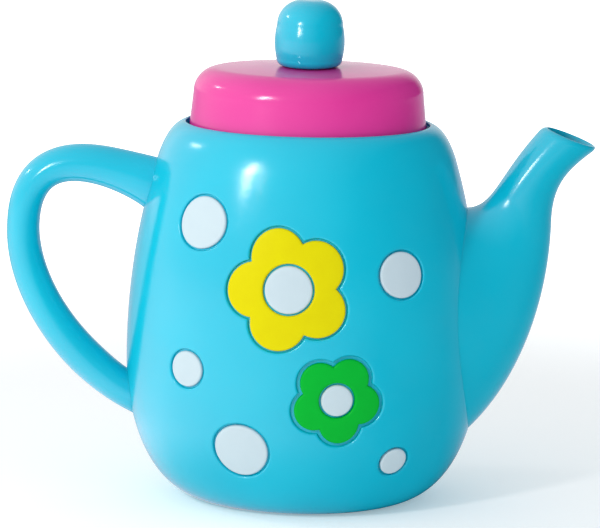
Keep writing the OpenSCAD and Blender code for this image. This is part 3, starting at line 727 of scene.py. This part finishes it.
def cut_band(columns, rows, cuts):
    """A band of the wall with outlines cut out of it: the grid's points that stand clear of the cuts, and
    rings of points round each cut, are joined into triangles in the flat plane of angle and run, and the
    triangles inside a cut are dropped."""
    theta = np.broadcast_to(columns, (len(rows), len(columns)))
    row = np.repeat(rows[:, None], len(columns), 1)
    clear = np.all([reach(theta, row) > GRID_CLEAR for reach, loop, closed in cuts], axis=0)
    clear[[0, -1]] = True
    thetas, levels, edges = [theta[clear]], [row[clear]], []
    count = int(clear.sum())
    for reach, loop, closed in cuts:
        for grow in RING_GROWS:
            ring_theta, ring_row = loop(grow)
            size = len(ring_theta)
            if grow == 0:
                start = np.arange(count, count + size - (0 if closed else 1))
                edges += np.stack([start, count + (start + 1 - count) % size], -1).tolist()
            thetas.append(ring_theta)
            levels.append(ring_row)
            count += size
    theta, row = np.concatenate(thetas), np.concatenate(levels)
    order = np.argsort(rows[:, 2])
    run = np.concatenate([[0], np.cumsum(np.hypot(*np.diff(rows[:, [0, 2]], axis=0).T))])
    flat = np.stack([theta * EVEN_HALF_W, np.interp(row[:, 2], rows[order, 2], run[order])], -1) * FLAT_SCALE
    _, _, faces, sources, *_ = delaunay_2d_cdt(flat.tolist(), edges, [], 0, FLAT_CLOSE, True)
    number = np.array([source[0] for source in sources])
    faces = number[np.array(faces)]
    middle = row[faces].mean(1)
    inside = np.any([reach(theta[faces].mean(1), middle) < 0 for reach, loop, closed in cuts], axis=0)
    return wall_points(theta, row), faces[~inside]


def pocket_patch(shares, outline, directions):
    """A pocket: a rounded lip, a wall and a floor with a small fillet between them, down to its middle."""
    a = quarter(EDGE_STEPS)
    grows = [*(POCKET_LIP_R * -np.sin(a)), *(-POCKET_LIP_R - POCKET_FOOT_R * (1 - np.cos(a)))]
    rises = [*(-POCKET_LIP_R * (1 - np.cos(a))), *(-POCKET_D + POCKET_FOOT_R * (1 - np.sin(a)))]
    radii = [outline(directions, grow) for grow in grows]
    inward = [radii[-1] * share for share in (0.8, 0.6, 0.4, 0.2, 0)]
    radii += inward
    rises += [-POCKET_D] * len(inward)
    return front_patch(shares, directions, radii, rises)


def ring_patch(*rings):
    """A patch through rings of equally many points."""
    return grid_patch(np.stack(rings), around=True)


def circle_y(x, y, z, radius):
    """A circle square to the depth axis."""
    turns = full_turn(ROUND_STEPS)
    return np.stack([x + radius * np.cos(turns), y + 0 * turns, z + radius * np.sin(turns)], -1)


def shell_columns():
    """Angles across the pot's half, close together beside the parting plane and even between."""
    edge = np.arcsin(PARTING_STEPS / (EVEN_HALF_W * DEPTH_SHARE))
    last = np.pi / 2 - edge[-1]
    count = int(2 * last / COLUMN_STEP)
    middle = np.linspace(-last, last, count)[1:-1]
    return np.concatenate([-np.pi / 2 + edge, middle, (np.pi / 2 - edge)[::-1]])


def shell_patches(outer_cuts, inner_cuts):
    """The wall of a half pot in five bands, from the middle of its underside over the rim to the middle of
    its floor, with the walls of the ways out for the handle and the spout. Up to the belly its heights
    follow a power of the cosine, which keeps the rows even round the foot, and above it they are even."""
    columns = shell_columns()
    foot = BELLY_H * (1 - np.cos(quarter(FOOT_ROWS)) ** (2 / FOOT_CURVE))
    heights = np.concatenate([foot, np.linspace(BELLY_H, NECK_H, SIDE_ROWS)[1:]])
    first, end = np.searchsorted(heights, [CUT_LOW_H, CUT_HIGH_H])
    outside, inside = outer_row(heights), inner_row(heights)[::-1]
    last = len(heights) - 1
    disc = np.linspace(0, 1, FLOOR_ROWS)[:-1, None] * (FOOT_HALF_W, 0, 0, 0, 0)
    under, floor = disc + (0, 0, 0, 0, -1), disc[::-1] + (0, 0, POT_WALL, 0, 1)
    plain = [np.concatenate([under, outside[:first + 1]]),
             np.concatenate([outside[end:], rim_rows(), inside[:last - end + 1]]),
             np.concatenate([inside[last - first:], floor])]
    patches = [grid_patch(wall_points(columns[None], rows[:, None])) for rows in plain]
    top, low = handle_sections(np.array([0.0, 1.0]))
    roots = [(top, -1), (low, -1), (spout_sections(np.array([0.0]))[0], 1)]
    ways = [[root_cut(root, side, row_at) for root, side in roots] for row_at in (outer_row, inner_row_at)]
    patches.append(cut_band(columns, outside[first:end + 1], ways[0] + outer_cuts))
    patches.append(cut_band(columns, inside[last - end:last - first + 1], ways[1] + inner_cuts))
    for (_, outer, _), (_, inner, _) in zip(*ways):
        patches.append(grid_patch(np.stack([wall_points(*outer(0)), wall_points(*inner(0))])))
    return patches


def grown(outline, amount):
    """An outline that is larger all round by an amount."""
    return lambda direction, grow: outline(direction, grow + amount)


def post_patch(x, z, radius):
    """A screw post's side, from where it leaves the inside of the wall to the parting plane."""
    _, loop, _ = round_cut(x, z, radius, inner_row_at)
    return ring_patch(wall_points(*loop(0)), circle_y(x, 0, z, radius))


openings = []
for place, (distance, radius), turn, groove in ((YELLOW_PLACE, YELLOW_PETALS, YELLOW_TURN, GROOVE_W),
                                                (GREEN_PLACE, GREEN_PETALS, GREEN_TURN, GREEN_GROOVE_W)):
    petals = flower_radius((distance, radius + groove), turn)
    openings.append((place, grown(petals, POCKET_LIP_R), FLOWER_DIRECTIONS))
for place, radius in DOTS.values():
    openings.append((place, grown(circle_radius(radius + GROOVE_W), POCKET_LIP_R), ROUND_DIRECTIONS))
front_patches = shell_patches([pocket_cut(*opening) for opening in openings],
                              [round_cut(x, z, POST_R, inner_row_at) for x, z in SCREW_PLACES])
front_patches += [pocket_patch(*opening) for opening in openings]
for x, z in SCREW_PLACES:
    front_patches.append(post_patch(x, z, POST_R))
    front_patches.append(ring_patch(circle_y(x, 0, z, PILOT_R), circle_y(x, -PILOT_DEPTH, z, PILOT_R),
                                    circle_y(x, -PILOT_DEPTH, z, 0)))
piece("pot_front", front_patches, POT_BLUE, "pot_blue", "pot", "front_shell", fill=True)

# Rear half of the pot
# The front half's mirror image without pockets. Four round wells lead through its wall to the screw heads,
# and a post round each well takes the screw to the front half.
WELL_R = 0.0028
WELL_LIP_R = 0.0005
WELL_FLOOR = 0.005
FREE_R = 0.0016
REAR_POST_R = 0.0044

wells = [round_cut(x, z, WELL_R + WELL_LIP_R, outer_row) for x, z in SCREW_PLACES]
rear_patches = shell_patches(wells, [round_cut(x, z, REAR_POST_R, inner_row_at) for x, z in SCREW_PLACES])


def well_patch(x, z, loop):
    """A well: its lip falls from the wall over a rounded edge, its side runs square to the parting plane down
    to the floor, and the screw's free hole goes on from there to the parting plane."""
    rings = []
    for a in quarter(EDGE_STEPS):
        lip = wall_points(*loop(-WELL_LIP_R * math.sin(a)))
        lip[:, 1] += WELL_LIP_R * (1 - math.cos(a))
        rings.append(lip)
    floor = circle_y(x, -WELL_FLOOR, z, WELL_R)
    rings += [between(rings[-1], floor, share) for share in (0.3, 0.6, 1)]
    rings += [circle_y(x, -WELL_FLOOR, z, FREE_R), circle_y(x, 0, z, FREE_R)]
    return ring_patch(*rings)


for (x, z), (_, loop, _) in zip(SCREW_PLACES, wells):
    rear_patches += [well_patch(x, z, loop), post_patch(x, z, REAR_POST_R)]
piece("pot_rear", [mirrored(patch) for patch in rear_patches], POT_BLUE, "pot_blue", "pot", "rear_shell",
      fill=True)

# Shell screws and knob screw
# Small zinc-plated steel screws with cross recesses, driven from behind into the front half's posts and
# from inside the lid up into the knob.
zinc, surface, link, add = shader("zinc_plate")
surface.inputs["Metallic"].default_value = 1.0
place = add("TexCoord").outputs["Object"]
bloom = add("TexNoise", Vector=place, Scale=900.0, Detail=4.0, Roughness=0.6).outputs["Fac"]
link(mixed(add, bloom, linear(205, 207, 210), linear(168, 170, 172)), surface.inputs["Base Color"])
link(ranged(add, bloom, 0, 1, 0.24, 0.46), surface.inputs["Roughness"])
dimples = add("Bump", Height=bloom, Strength=0.3, Distance=0.00001).outputs["Normal"]
link(dimples, surface.inputs["Normal"])
for node in ("shell_screws", "knob_screw"):
    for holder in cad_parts[node].material_slots:
        holder.material = zinc

# Inlays
# Flat plates of satin plastic, cut to flowers and dots, curved to the pot's front and glued into its
# pockets a little proud of the wall. Each flower has a round white eye in the hole in its middle.
INLAY_LOW = -0.001
INLAY_HIGH = 0.00003
INLAY_EDGE_R = 0.0006
INLAY_CROWN = 0.00006
INLAY_ROWS = 14
YELLOW_EYE_R = 0.007
GREEN_EYE_R = 0.0047

# The satin skin: strength of its gloss, how far its roughness strays down and up, and its grain's depth
SATIN_GLOSS = 0.07
SATIN_SMOOTHER = 0.06
SATIN_DULLER = 0.08
SATIN_GRAIN_D = 0.00002


def inlay(name, shares, outline, directions, hole, material, slot):
    """An inlay: from its middle or its hole over a slightly crowned top to a rounded edge, down its side and
    back under it. Edges are quarter circles, and the crown falls by the square of the way out."""
    a = quarter(EDGE_STEPS)
    edge = INLAY_EDGE_R
    radii, rises = [], []
    if hole:
        radii += [hole + edge * (1 - math.cos(t)) + 0 * directions for t in a[:-1]]
        rises += [INLAY_HIGH - edge * (1 - math.sin(t)) for t in a[:-1]]
    start, rim = hole + edge if hole else 0, outline(directions, -edge)
    for share in np.linspace(0, 1, INLAY_ROWS):
        radii.append(between(start, rim, share))
        rises.append(INLAY_HIGH + INLAY_CROWN * (1 - share ** 2) * (share if hole else 1))
    radii += [outline(directions, -edge * (1 - math.sin(t))) for t in a[1:]]
    rises += [INLAY_HIGH - edge * (1 - math.cos(t)) for t in a[1:]]
    back = [between(outline(directions, 0), hole, share) for share in (0, 0.33, 0.67, 1)]
    radii += back
    rises += [INLAY_LOW] * len(back)
    if hole:
        radii.append(radii[0])
        rises.append(rises[0])
    piece(name, [front_patch(shares, directions, radii, rises)], material, slot, "pot", name)


def satin_plate(name, colour, deeper, rough):
    """Satin sheet plastic: a fine even grain, a faint mottle in the colour and duller patches."""
    material, surface, link, add = shader(name)
    surface.inputs["Specular IOR Level"].default_value = SATIN_GLOSS
    place = add("TexCoord").outputs["Object"]
    mottle = add("TexNoise", Vector=place, Scale=210.0, Detail=4.0, Roughness=0.6).outputs["Fac"]
    link(mixed(add, mottle, colour, deeper), surface.inputs["Base Color"])
    link(ranged(add, mottle, 0, 1, rough - SATIN_SMOOTHER, rough + SATIN_DULLER), surface.inputs["Roughness"])
    grain = add("TexNoise", Vector=place, Scale=3200.0, Detail=3.0, Roughness=0.6).outputs["Fac"]
    skin = add("Bump", Height=grain, Strength=0.5, Distance=SATIN_GRAIN_D).outputs["Normal"]
    link(skin, surface.inputs["Normal"])
    return material


DOT_WHITE = satin_plate("dot_white_satin", linear(201, 215, 222), linear(194, 209, 217), 0.42)
PETAL_YELLOW = satin_plate("petal_yellow_satin", linear(224, 212, 5), linear(218, 202, 3), 0.36)
PETAL_GREEN = satin_plate("petal_green_satin", linear(2, 182, 52), linear(2, 172, 48), 0.36)
for dot, (place, radius) in DOTS.items():
    inlay(dot, place, circle_radius(radius), ROUND_DIRECTIONS, 0, DOT_WHITE, "dot_white")
inlay("yellow_flower", YELLOW_PLACE, flower_radius(YELLOW_PETALS, YELLOW_TURN), FLOWER_DIRECTIONS,
      YELLOW_EYE_R + GROOVE_W, PETAL_YELLOW, "petal_yellow")
inlay("green_flower", GREEN_PLACE, flower_radius(GREEN_PETALS, GREEN_TURN), FLOWER_DIRECTIONS,
      GREEN_EYE_R + GROOVE_W, PETAL_GREEN, "petal_green")
for eye, place, radius in (("yellow_flower_eye", YELLOW_PLACE, YELLOW_EYE_R),
                           ("green_flower_eye", GREEN_PLACE, GREEN_EYE_R)):
    inlay(eye, place, circle_radius(radius), ROUND_DIRECTIONS, 0, DOT_WHITE, "dot_white")

# Lid cap
# A hollow oval cap of glossy pink plastic with a well-rounded top edge and a gently domed top, resting on
# the ledge in the pot's mouth. A screw comes up through a hole in its middle.
LID_GAP = 0.0009
LID_DRAFT = 0.0012
LID_EDGE_R = 0.0072
LID_DOME = 0.0007
LID_WALL = 0.0018
LID_LOW_H = SEAT_H + 0.0002
LID_TOP_H = SEAT_H + 0.0198
LID_EDGE_H = LID_TOP_H - LID_DOME - LID_EDGE_R
LID_TURNS = full_turn(200)
DOME_SHARES = np.linspace(0.1, 1, 20)[:-1, None]
BEND_STEPS = 16


def oval_points(levels):
    """Points round the mouth's oval on levels of half width, inset and height: its half axes are the half
    width, and that times the depth share, each less the inset."""
    half_w, inset, z = (column[:, None] for column in np.asarray(levels).T)
    points = [(half_w - inset) * np.cos(LID_TURNS), (half_w * DEPTH_SHARE - inset) * np.sin(LID_TURNS),
              z + 0 * LID_TURNS]
    return np.stack(points, -1)


def edge_levels(wall):
    """The lid's rounded top edge, a quarter circle from its side to its top, a wall's thickness in."""
    a = quarter(BEND_STEPS)
    radius = LID_EDGE_R - wall
    return np.stack([np.full(len(a), MOUTH_HALF_W), LID_GAP + LID_DRAFT + wall + radius * (1 - np.cos(a)),
                     LID_EDGE_H + radius * np.sin(a)], -1)


def lid_rings():
    """The lid cap's surface: down from the hole in its middle over the dome, which falls by the square of the
    way out, the edge and the side to the rounded lower edge, and up its inside back to the hole."""
    middle = LID_GAP + LID_DRAFT + LID_EDGE_R
    dome = DOME_SHARES * (MOUTH_HALF_W, middle, 0) + (0, 0, LID_TOP_H) - DOME_SHARES ** 2 * (0, 0, LID_DOME)
    outer_edge, inner_edge = edge_levels(0)[::-1], edge_levels(LID_WALL)
    inner_inset = LID_GAP + LID_WALL
    foot = [arc(LID_GAP + EDGE_R, LID_LOW_H + EDGE_R, EDGE_R, 270, 180),
            arc(inner_inset - EDGE_R, LID_LOW_H + EDGE_R, EDGE_R, 180, 90)]
    side = straight(outer_edge[-1], foot[0][0], 10)[1:-1]
    back = straight(foot[1][-1], inner_edge[0], 8)[1:-1]
    ceiling = DOME_SHARES[::-1] * (MOUTH_HALF_W, inner_edge[-1][1], 0) + (0, 0, inner_edge[-1][2])
    return oval_points(np.concatenate([dome, outer_edge, side, *foot, back, inner_edge, ceiling]))


rings = lid_rings()
hole_rings = [np.stack([FREE_R * np.cos(LID_TURNS), FREE_R * np.sin(LID_TURNS), height + 0 * LID_TURNS], -1)
              for height in (rings[-1, 0, 2], rings[0, 0, 2])]
LID_PINK = moulded_plastic("lid_pink_gloss", linear(228, 62, 154), linear(220, 52, 146), 0.14)
piece("lid_cap", [grid_patch(np.concatenate([rings, hole_rings, rings[:1]]), around=True)], LID_PINK,
      "lid_pink", "lid", "lid_cap")

# Lid plug
# A ring of the same pink plastic pressed up into the cap. It reaches down through the pot's mouth and
# keeps the lid from sliding off sideways.
PLUG_INSET = LEDGE_W + 0.0004
PLUG_WALL = 0.0018
PLUG_HIGH_H = LID_LOW_H + 0.005
PLUG_LOW_H = SEAT_H - 0.008
PLUG_SEAT_INSET = LID_GAP + LID_WALL + ROOT_GAP
PLUG_EDGE_R = 0.0006

plug_high = (MOUTH_HALF_W, PLUG_SEAT_INSET, PLUG_HIGH_H)
plug_step = (MOUTH_HALF_W, PLUG_SEAT_INSET, LID_LOW_H)
plug_inner = PLUG_INSET + PLUG_WALL
plug_foot = PLUG_LOW_H + PLUG_EDGE_R
plug_levels = np.concatenate([
    straight(plug_high, plug_step, 4),
    straight((MOUTH_HALF_W, PLUG_INSET, LID_LOW_H), (MOUTH_HALF_W, PLUG_INSET, plug_foot), 6),
    arc(PLUG_INSET + PLUG_EDGE_R, plug_foot, PLUG_EDGE_R, 270, 180)[1:],
    arc(plug_inner - PLUG_EDGE_R, plug_foot, PLUG_EDGE_R, 180, 90),
    straight((MOUTH_HALF_W, plug_inner, plug_foot), (MOUTH_HALF_W, plug_inner, PLUG_HIGH_H), 6)[1:],
    [plug_high],
])
piece("lid_plug", [grid_patch(oval_points(plug_levels), around=True)], LID_PINK, "lid_pink", "lid",
      "lid_plug")

# Knob
# A hollow blue barrel with a well-rounded top and a smaller rounding below, standing on the lid's dome.
# The post in its middle takes the screw from inside the lid.
KNOB_R = 0.0104
KNOB_H = 0.0196
KNOB_BARREL = 0.0006
KNOB_TOP_R = 0.0074
KNOB_LOW_R = 0.0022
KNOB_WALL = 0.0022
KNOB_POST_R = 0.0032
KNOB_LOW_H = LID_TOP_H + 0.0001
KNOB_PILOT_H = 0.0085
KNOB_ROWS = 20

# The radius at the barrel's ends and that of the flat top, and the height at which the shoulder begins
KNOB_END_R = KNOB_R - KNOB_BARREL
KNOB_FLAT_R = KNOB_END_R - KNOB_TOP_R
KNOB_BEND_H = KNOB_H - KNOB_TOP_R


def knob_side(wall):
    """The knob's side from its foot to its top, a wall's thickness in: a rounded foot, a barrel whose radius
    falls by the square of the distance from its middle, and a rounded shoulder."""
    a = quarter(BEND_STEPS)
    foot_r, top_r = KNOB_LOW_R - wall, KNOB_TOP_R - wall
    foot = np.stack([KNOB_END_R - KNOB_LOW_R + foot_r * np.sin(a), KNOB_LOW_R - foot_r * np.cos(a)], -1)
    share = np.linspace(0, 1, KNOB_ROWS)[1:-1]
    barrel = np.stack([KNOB_R - wall - KNOB_BARREL * (2 * share - 1) ** 2,
                       between(KNOB_LOW_R, KNOB_BEND_H, share)], -1)
    top = np.stack([KNOB_FLAT_R + top_r * np.cos(a), KNOB_BEND_H + top_r * np.sin(a)], -1)
    return np.concatenate([foot, barrel, top])


def knob_profile():
    """The knob's whole profile as radius and height: from the middle of its top down its outside, up its
    inside to the post, which meets the rounded roof at the height that its circle has there, down the post
    and up the screw's blind hole."""
    inside = knob_side(KNOB_WALL)
    inside = inside[inside[:, 0] > KNOB_POST_R]
    roof = KNOB_BEND_H + math.sqrt((KNOB_TOP_R - KNOB_WALL) ** 2 - (KNOB_POST_R - KNOB_FLAT_R) ** 2)
    return np.concatenate([
        straight((0, KNOB_H), (KNOB_FLAT_R, KNOB_H), 4)[:-1], knob_side(0)[::-1],
        straight((inside[0][0], 0), inside[0], 3), inside[1:],
        [(KNOB_POST_R, roof), (KNOB_POST_R, 0), (PILOT_R, 0), (PILOT_R, KNOB_PILOT_H), (0, KNOB_PILOT_H)],
    ])


radius, height = knob_profile().T[..., None]
KNOB_TURNS = full_turn(128)
knob_points = np.stack([radius * np.cos(KNOB_TURNS), radius * np.sin(KNOB_TURNS),
                        KNOB_LOW_H + height + 0 * KNOB_TURNS], -1)
piece("knob", [grid_patch(knob_points, around=True)], POT_BLUE, "pot_blue", "lid", "knob")

# Floor, light and camera
# A pale floor that keeps the pot's shadow, and white all round it. A small oval key lamp and a faint strip
# shine from the upper left and a long narrow lamp from the far left, under a sky that darkens towards the
# spout. The camera stands at the photograph's view.

# What the camera looks at, from how far and how high, its roll, and the photograph's width and scale
AIM = Vector((-0.0015, 0, 0.0711))
CAMERA_DISTANCE = 1.0
CAMERA_ELEVATION = math.radians(11.3)
CAMERA_ROLL = math.radians(1.2)
SENSOR_W = 36
IMAGE_W = 600
METRES_PER_PIXEL = 0.0003

# The point that the lamps face, and the light that comes from the sky's bright and dark sides
LIT_MIDDLE = Vector((0, 0, 0.06))
SKY_BRIGHT = (0.9, 0.95, 0.86)
SKY_DARK = (0.48, 0.57, 0.66)
SKY_WAY = (0.85, 0, 0.52)

# What gloss mirrors of the surroundings: bright on the handle's side, dark towards the spout and white
# behind. A span says between which parts of a direction along a way one turns into the next.
WHITE = (1, 1, 1)
GLOSS_BRIGHT = (2.4, 2.15, 2.3)
GLOSS_DARK = (0.03, 0.03, 0.03)
DARK_WAY = (0.93, 0, -0.37)
SKY_DARK_SPAN = (-1, 0.4)
BEHIND_WAY = (0, 1, 0)
SKY_BEHIND_SPAN = (0.75, 0.95)

# The floor: its size and paper, what gloss mirrors of it, how strongly it shines of itself beside the pot,
# between which distances it grows to full white for the camera and for gloss, and its light from below
FLOOR_HALF = 4.0
FLOOR_PAPER = (0.94, 0.88, 0.86)
FLOOR_GLOSS = (3.6, 3, 3.3)
FLOOR_DARK_SPAN = (-1, 0.6)
FLOOR_BEHIND = (0.7, 0.68, 0.78)
FLOOR_BEHIND_SPAN = (-0.1, 0.7)
FLOOR_LIFT = 0.26
FLOOR_FADE = (0.16, 0.5)
GLOSS_FADE = (0.04, 0.09)
FLOOR_BOUNCE = 0.24


def lamp(name, azimuth, elevation, lean, distance, width, height, power):
    """An oval area lamp that faces the pot from an azimuth, 0 in front and positive towards the spout, and an
    elevation, turned in its own plane by its lean, all in degrees."""
    light = bpy.data.lights.new(name, "AREA")
    light.shape, light.size, light.size_y, light.energy = "ELLIPSE", width, height, power
    a, e = math.radians(azimuth), math.radians(elevation)
    way = Vector((math.sin(a) * math.cos(e), -math.cos(a) * math.cos(e), math.sin(e)))
    holder = bpy.data.objects.new(name, light)
    holder.location = LIT_MIDDLE + way * distance
    holder.rotation_mode = "QUATERNION"
    holder.rotation_quaternion = (-way).to_track_quat("-Z", "Y") @ Quaternion((0, 0, 1), math.radians(lean))
    bpy.context.scene.collection.objects.link(holder)


def either(add, *rays):
    """One for a ray of any of the kinds named, else nought: the largest of the light path's answers."""
    path = add("LightPath")
    total = path.outputs[rays[0]]
    for ray in rays[1:]:
        larger = add("Math", operation="MAXIMUM")
        path.id_data.links.new(path.outputs[ray], larger.inputs[0])
        path.id_data.links.new(total, larger.inputs[1])
        total = larger.outputs[0]
    return total


def share_along(add, direction, way, span):
    """A share that rises evenly from nought to one as a direction's part along a way crosses a span."""
    part = add("VectorMath", operation="DOT_PRODUCT", Vector=direction)
    part.inputs[1].default_value = way
    return ranged(add, part.outputs["Value"], *span)


floor_mesh = bpy.data.meshes.new("floor")
corners = [(x * FLOOR_HALF, y * FLOOR_HALF, 0) for x, y in ((-1, -1), (1, -1), (1, 1), (-1, 1))]
floor_mesh.from_pydata(corners, [], [(0, 1, 2, 3)])
floor = bpy.data.objects.new("floor", floor_mesh)
bpy.context.scene.collection.objects.link(floor)
paper, surface, link, add = shader("floor_paper")
surface.inputs["Roughness"].default_value = 0.9
surface.inputs["Specular IOR Level"].default_value = 0.1
place = add("TexCoord").outputs["Object"]
in_gloss = either(add, "Is Glossy Ray")
link(mixed(add, in_gloss, FLOOR_PAPER, GLOSS_DARK), surface.inputs["Base Color"])
from_pot = add("VectorMath", operation="NORMALIZE", Vector=place).outputs["Vector"]
gloss = mixed(add, share_along(add, from_pot, DARK_WAY, FLOOR_DARK_SPAN), FLOOR_GLOSS, GLOSS_DARK)
gloss = mixed(add, share_along(add, from_pot, BEHIND_WAY, FLOOR_BEHIND_SPAN), gloss, FLOOR_BEHIND)
link(mixed(add, in_gloss, WHITE, gloss), surface.inputs["Emission Color"])
far = add("VectorMath", operation="LENGTH", Vector=place).outputs["Value"]
fades = [ranged(add, far, *span, FLOOR_LIFT, 1.0, "SMOOTHSTEP") for span in (FLOOR_FADE, GLOSS_FADE)]
shine = add("Math", operation="MULTIPLY")
link(either(add, "Is Camera Ray", "Is Transmission Ray", "Is Glossy Ray"), shine.inputs[0])
link(mixed(add, in_gloss, *fades), shine.inputs[1])
bounce = add("Math", operation="MULTIPLY_ADD")
link(either(add, "Is Diffuse Ray"), bounce.inputs[0])
bounce.inputs[1].default_value = FLOOR_BOUNCE
link(shine.outputs[0], bounce.inputs[2])
link(bounce.outputs[0], surface.inputs["Emission Strength"])
floor_mesh.materials.append(paper)

world = bpy.data.worlds.new("studio")
world.use_nodes = True
add = node_adder(world.node_tree)
toward = add("TexCoord").outputs["Generated"]
sky = mixed(add, share_along(add, toward, SKY_WAY, (-1, 1)), SKY_BRIGHT, SKY_DARK)
gloss = mixed(add, share_along(add, toward, DARK_WAY, SKY_DARK_SPAN), GLOSS_BRIGHT, GLOSS_DARK)
gloss = mixed(add, share_along(add, toward, BEHIND_WAY, SKY_BEHIND_SPAN), gloss, WHITE)
seen = mixed(add, either(add, "Is Glossy Ray"), sky, gloss)
seen = mixed(add, either(add, "Is Camera Ray", "Is Transmission Ray"), seen, WHITE)
world.node_tree.links.new(seen, world.node_tree.nodes["Background"].inputs["Color"])

lamp("key", azimuth=-35.5, elevation=24, lean=-25, distance=0.404, width=0.042, height=0.095, power=0.5)
lamp("second", azimuth=-27.5, elevation=23, lean=0, distance=0.404, width=0.008, height=0.07, power=0.04)
lamp("side", azimuth=-97, elevation=30, lean=-75, distance=1.2, width=0.05, height=0.24, power=1.2)

camera = bpy.data.objects.new("camera", bpy.data.cameras.new("camera"))
looking = Vector((0, math.cos(CAMERA_ELEVATION), -math.sin(CAMERA_ELEVATION)))
camera.location = AIM - looking * CAMERA_DISTANCE
camera.rotation_mode = "QUATERNION"
camera.rotation_quaternion = looking.to_track_quat("-Z", "Y") @ Quaternion((0, 0, 1), CAMERA_ROLL)
camera.data.sensor_width = SENSOR_W
camera.data.lens = SENSOR_W * CAMERA_DISTANCE / (IMAGE_W * METRES_PER_PIXEL)
scene = bpy.context.scene
scene.world = world
scene.collection.objects.link(camera)
scene.camera = camera
scene.view_settings.view_transform = "Standard"
